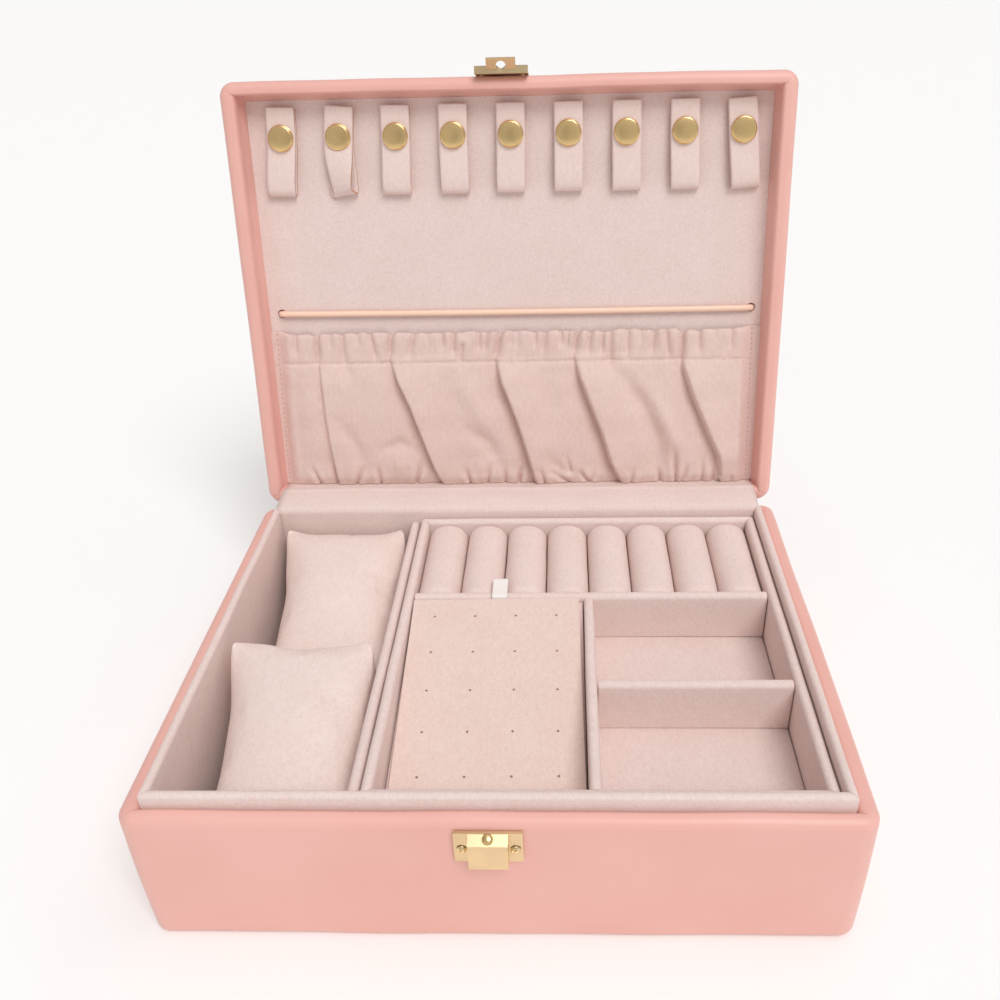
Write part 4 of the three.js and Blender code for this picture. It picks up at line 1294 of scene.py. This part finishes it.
def turnedPiece(name, profile, place, material, body, nodes=(), sides=40):
    # place takes sideways, upwards and outwards distances to points of the case
    x, y, z = turnedShape(profile, sides)
    spots, faces = joinGrids([place(x, y, z)])
    mesh = meshOf(name, spots, faces)
    finishMesh(mesh, 40)
    return addPiece(name, mesh, material, body, nodes)


def snapParts(index, centre, snapY, look=capShape):
    face = strapShape["capStand"] + 0.25 * mm
    radius, height = look["radius"], look["height"]
    # a nearly flat crown, a rounded shoulder and a thin rolled rim
    shoulder = quarterTurn(6)
    bend = 0.75 * mm
    crown = [(radius * 0.86 * t, height - 0.3 * mm * t**2) for t in (0.8, 0.6, 0.4, 0.2, 0.01)]
    rim = [(0.05 * mm, -0.2 * mm), (radius * 0.93, -0.2 * mm), (radius * 0.99, -0.05 * mm), (radius,
        0.2 * mm),
           (radius * 0.99, 0.45 * mm), (radius * 0.965, 0.55 * mm)]
    side = [(radius * 0.96 - bend + bend * np.cos(t),
        height - 0.35 * mm - bend + bend * np.sin(t)) for t in shoulder]
    profile = rim + side + crown
    turnedPiece(
        f"cap_{index}", profile, lambda x, y, z: onPanel(centre + x, snapY + y, face + z),
        polishedGold, f"strap_leaf_{index}", [f"snap_cap_{index}"], 48,
    )
    socket = [(2.0 * mm, 0.0), (4.2 * mm, 0.0), (4.4 * mm, 0.3 * mm), (4.2 * mm, 0.75 * mm), (2.6 * mm,
        0.8 * mm),
              (2.0 * mm, 0.6 * mm)]
    underStrap = strapShape["capStand"] - strapShape["thickness"] - 0.85 * mm
    turnedRing(f"snap_socket_{index}", socket, centre, snapY, underStrap, f"strap_leaf_{index}")
    post = [(0.05 * mm, 0.0), (3.8 * mm, 0.0), (4.0 * mm, 0.25 * mm), (1.9 * mm, 0.4 * mm), (1.75 * mm,
        0.9 * mm),
            (1.9 * mm, 1.15 * mm), (1.3 * mm, 1.4 * mm), (0.05 * mm, 1.45 * mm)]
    turnedPiece(
        f"snap_post_{index}", post, lambda x, y, z: onPanel(centre + x, snapY + y, 1.1 * mm + z),
        satinGold, "lid", (), 24,
    )


def turnedRing(name, profile, centre, snapY, stand, body):
    x, y, z = turnedShape(profile, 24)
    points = onPanel(centre + x, snapY + y, stand + z)
    mesh = meshOf(name, points, list(gridFaces(len(profile), 24, closeRows=True, closeCols=True)))
    finishMesh(mesh, 40)
    return addPiece(name, mesh, satinGold, body, ())


for strapIndex, strapStyle in enumerate(strapShape["styles"], 1):
    strapLoop(strapIndex, strapStyle)
print("straps and snaps made")

# ---- elastic cord ----
cordLow, cordHigh = closedBox("elastic_cord")
cordShape = {"radius": 1.45 * mm, "sides": 14, "sag": 0.5 * mm}


def elasticCord(look=cordShape):
    # a round section carried along a line that rises out of one hole, crosses and dips into the other
    radius = look["radius"]
    left, right = cordLow[0] + radius, cordHigh[0] - radius
    y = (cordLow[1] + cordHigh[1]) / 2
    out = radius + 0.35 * mm
    span = np.linspace(0, 1, 9)[1:-1]
    crossing = [(left + 4 * mm + (right - left - 8 * mm) * s, out) for s in span]
    knots = [(left + 0.9 * mm, -1.9 * mm), (left + 1.1 * mm, -0.2 * mm), (left + 2.4 * mm, out * 0.9),
        *crossing,
             (right - 2.4 * mm, out * 0.9), (right - 1.1 * mm, -0.2 * mm), (right - 0.9 * mm, -1.9 * mm)]
    line, run = smoothPath(knots, 0.7 * mm)
    way = np.gradient(line, axis=0)
    way /= np.linalg.norm(way, axis=1, keepdims=True)
    normal = np.stack([-way[:, 1], way[:, 0]], -1)
    angle = np.arange(look["sides"]) / look["sides"] * 2 * np.pi
    reach = radius * np.cos(angle)[None, :]
    x = line[:, :1] + normal[:, :1] * reach
    stand = line[:, 1:] + normal[:, 1:] * reach
    sag = look["sag"] * 4 * (run / run[-1]) * (1 - run / run[-1])
    across = y + sag[:, None] + radius * np.sin(angle)[None, :]
    flat = np.stack(np.broadcast_arrays(run[:, None], angle[None, :] * radius), -1)
    spots, faces = joinGrids([onPanel(x, across, stand)])
    mesh = meshOf("elastic_line", spots, faces, flat)
    mesh.shade_smooth()
    return addPiece("elastic_line", mesh, peachElastic, "lid", ["elastic_cord"])


elasticCord()

# ---- pull ribbon ----
ribbonLow, ribbonHigh = cadBox("pull_ribbon")
dividerLow, dividerHigh = cadBox("ring_divider")
ribbonGap = dividerLow[1] - 0.45 * mm       # between the plate's rear edge and the divider
ribbonPath = [
    (ribbonGap, dividerHigh[2] - 7 * mm),
    (ribbonGap, dividerHigh[2] - 2 * mm),
    (ribbonGap + 0.1 * mm, dividerHigh[2] + 0.1 * mm),
    (ribbonGap + 0.9 * mm, dividerHigh[2] + 0.9 * mm),
    (ribbonGap + 3.5 * mm, dividerHigh[2] + 1.0 * mm),
    (ribbonGap + 6.5 * mm, dividerHigh[2] + 1.1 * mm),
    (ribbonGap + 12.3 * mm, dividerHigh[2] + 1.9 * mm),
]
ribbon, _, _ = sheetAlongX(
    "satin_ribbon", ribbonPath, (ribbonLow[0], ribbonHigh[0]), 0.5 * mm, whiteSatin, 0.35 * mm, 15
)
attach(ribbon, "plate")
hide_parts("pull_ribbon")
print("cord and ribbon made")


# ---- clasp screws and stud ----
def crossHead(name, nodeName, body, lid):
    # a low dome on a square grid whose cross-shaped recess has sloping sides, with a rim and a shank
    low, high = closedBox(nodeName) if lid else cadBox(nodeName)
    centreX, centreZ = (low[0] + high[0]) / 2, (low[2] + high[2]) / 2
    radius = (high[0] - low[0]) / 2
    head = low[1]
    turn = np.arange(48) / 48 * 2 * np.pi
    share = np.concatenate([[0.01], np.linspace(0.06, 0.9, 14), [0.97, 1.0]])
    x = radius * share[:, None] * np.cos(turn)
    z = radius * share[:, None] * np.sin(turn)
    dome = 0.85 * mm * (1 - share[:, None] ** 2.4) + 0 * x
    arm = np.minimum(np.abs(x), np.abs(z)) / radius
    reach = np.maximum(np.abs(x), np.abs(z)) / radius
    slot = (1 - smoothStep(0.07, 0.15, arm)) * (1 - smoothStep(0.5, 0.64, reach))
    y = head + 0.9 * mm - dome + slot * 0.55 * mm
    back = [(1.0, 0.95 * mm), (0.5, 0.95 * mm), (0.45, 4 * mm), (0.02, 4 * mm)]
    for factor, depth in back:
        ring = np.stack([radius * factor * np.cos(turn), radius * factor * np.sin(turn)])
        x = np.concatenate([x, ring[:1]])
        z = np.concatenate([z, ring[1:]])
        y = np.concatenate([y, np.full((1, 48), head + depth)])
    points = np.stack([centreX + x, y, centreZ + z], -1)
    spots, faces = joinGrids([opened(points) if lid else points])
    mesh = meshOf(name, spots, faces)
    finishMesh(mesh, 40)
    return addPiece(name, mesh, satinGold, body, [nodeName])


for side in ("left", "right"):
    crossHead(f"lower_screw_{side}", f"clasp_screw_{side}", "base", False)
    crossHead(f"upper_screw_{side}", f"hasp_screw_{side}", "lid", True)

press = next(joint for joint in frame["joints"] if joint["name"] == "stud_press")
studLow, studHigh = cadBox("catch_stud")


def catchStud():
    # a round-headed button, turned about the way it presses in
    inward = np.array(press["axis"])
    middle = (studLow + studHigh) / 2
    outward = -inward
    sideways = np.array([1.0, 0, 0])
    upward = np.cross(outward, sideways)
    radius, half = 1.78 * mm, 1.55 * mm
    rise = np.linspace(0, np.pi / 2, 8)
    dome = [(radius * np.cos(t), half - 0.7 * mm + 0.7 * mm * np.sin(t)) for t in rise]
    profile = [(0.05 * mm, -half), (radius, -half), (radius, 0.0), *dome[:-1], (0.05 * mm, half)]

    def place(x, y, z):
        return middle + x[..., None] * sideways + y[..., None] * upward + z[..., None] * outward

    return turnedPiece(
        "stud_button", profile, place, polishedGold, "stud", ["catch_stud"], 32
    )


catchStud()
print("clasp made")

# ---- floor and light ----
studio = {
    "floor": (252, 251, 250),
    "floorSize": 40.0,
    "world": 0.53,
    "suns": (
        {"name": "key", "power": 1.6, "angle": 30.0, "way": (0.36, -0.66, 1.05)},
        {"name": "top", "power": 0.45, "angle": 60.0, "way": (0.2, 0.1, 1.0)},
    ),
}


def softSun(look):
    # a wide sun: even light everywhere and soft shadows
    data = bpy.data.lights.new(look["name"], "SUN")
    data.energy = look["power"]
    data.angle = np.radians(look["angle"])
    light = bpy.data.objects.new(look["name"], data)
    light.rotation_euler = Vector(look["way"]).to_track_quat("Z", "Y").to_euler()
    scene.collection.objects.link(light)


def makeWorld(look):
    # even white, brighter in front, with a small dark patch low in front that metal parts mirror
    world = bpy.data.worlds.new("studio")
    scene.world = world
    world.use_nodes = True
    tree = world.node_tree
    ground = tree.nodes["Background"]
    where = addNode(tree, "ShaderNodeTexCoord")
    parts = addNode(tree, "ShaderNodeSeparateXYZ")
    tree.links.new(where.outputs["Generated"], parts.inputs["Vector"])
    facing = mixValue(tree, "MULTIPLY", parts.outputs["Y"], -1.0)
    front = ramp(tree, facing, [(0.1, (0.8, 0.8, 0.8, 1)), (0.8, (1, 1, 1, 1))])
    grey, white, black = (0.22, 0.2, 0.19, 1), (1, 1, 1, 1), (0, 0, 0, 1)
    sideways = mixValue(tree, "ADD", parts.outputs["X"], 0.5)
    across = ramp(tree, sideways, [(0.41, black), (0.44, white), (0.48, white), (0.51, black)])
    height = ramp(tree, parts.outputs["Z"], [(0.08, black), (0.13, white), (0.32, white), (0.38, black)])
    toward = ramp(tree, facing, [(0.5, black), (0.7, white)])
    patch = mixColour(tree, 1.0, mixColour(tree, 1.0, across, height, "MULTIPLY"), toward, "MULTIPLY")
    tree.links.new(mixColour(tree, patch, front, grey), ground.inputs["Color"])
    ground.inputs["Strength"].default_value = look["world"]


def makeStudio(look):
    half = look["floorSize"] / 2
    floorSpots = np.array([(-half, -half, 0), (half, -half, 0), (half, half, 0), (-half, half, 0)])
    mesh = meshOf("studio_floor", floorSpots, [(0, 1, 2, 3)])
    material, tree, shader = newMaterial("palePaper", Roughness=0.9, Specular_IOR_Level=0.1)
    shader.inputs["Base Color"].default_value = linear(look["floor"])
    floor = addPiece("studio_floor", mesh, material)
    for sun in look["suns"]:
        softSun(sun)
    makeWorld(look)
    scene.view_settings.view_transform = "Standard"


makeStudio(studio)
print("studio made")
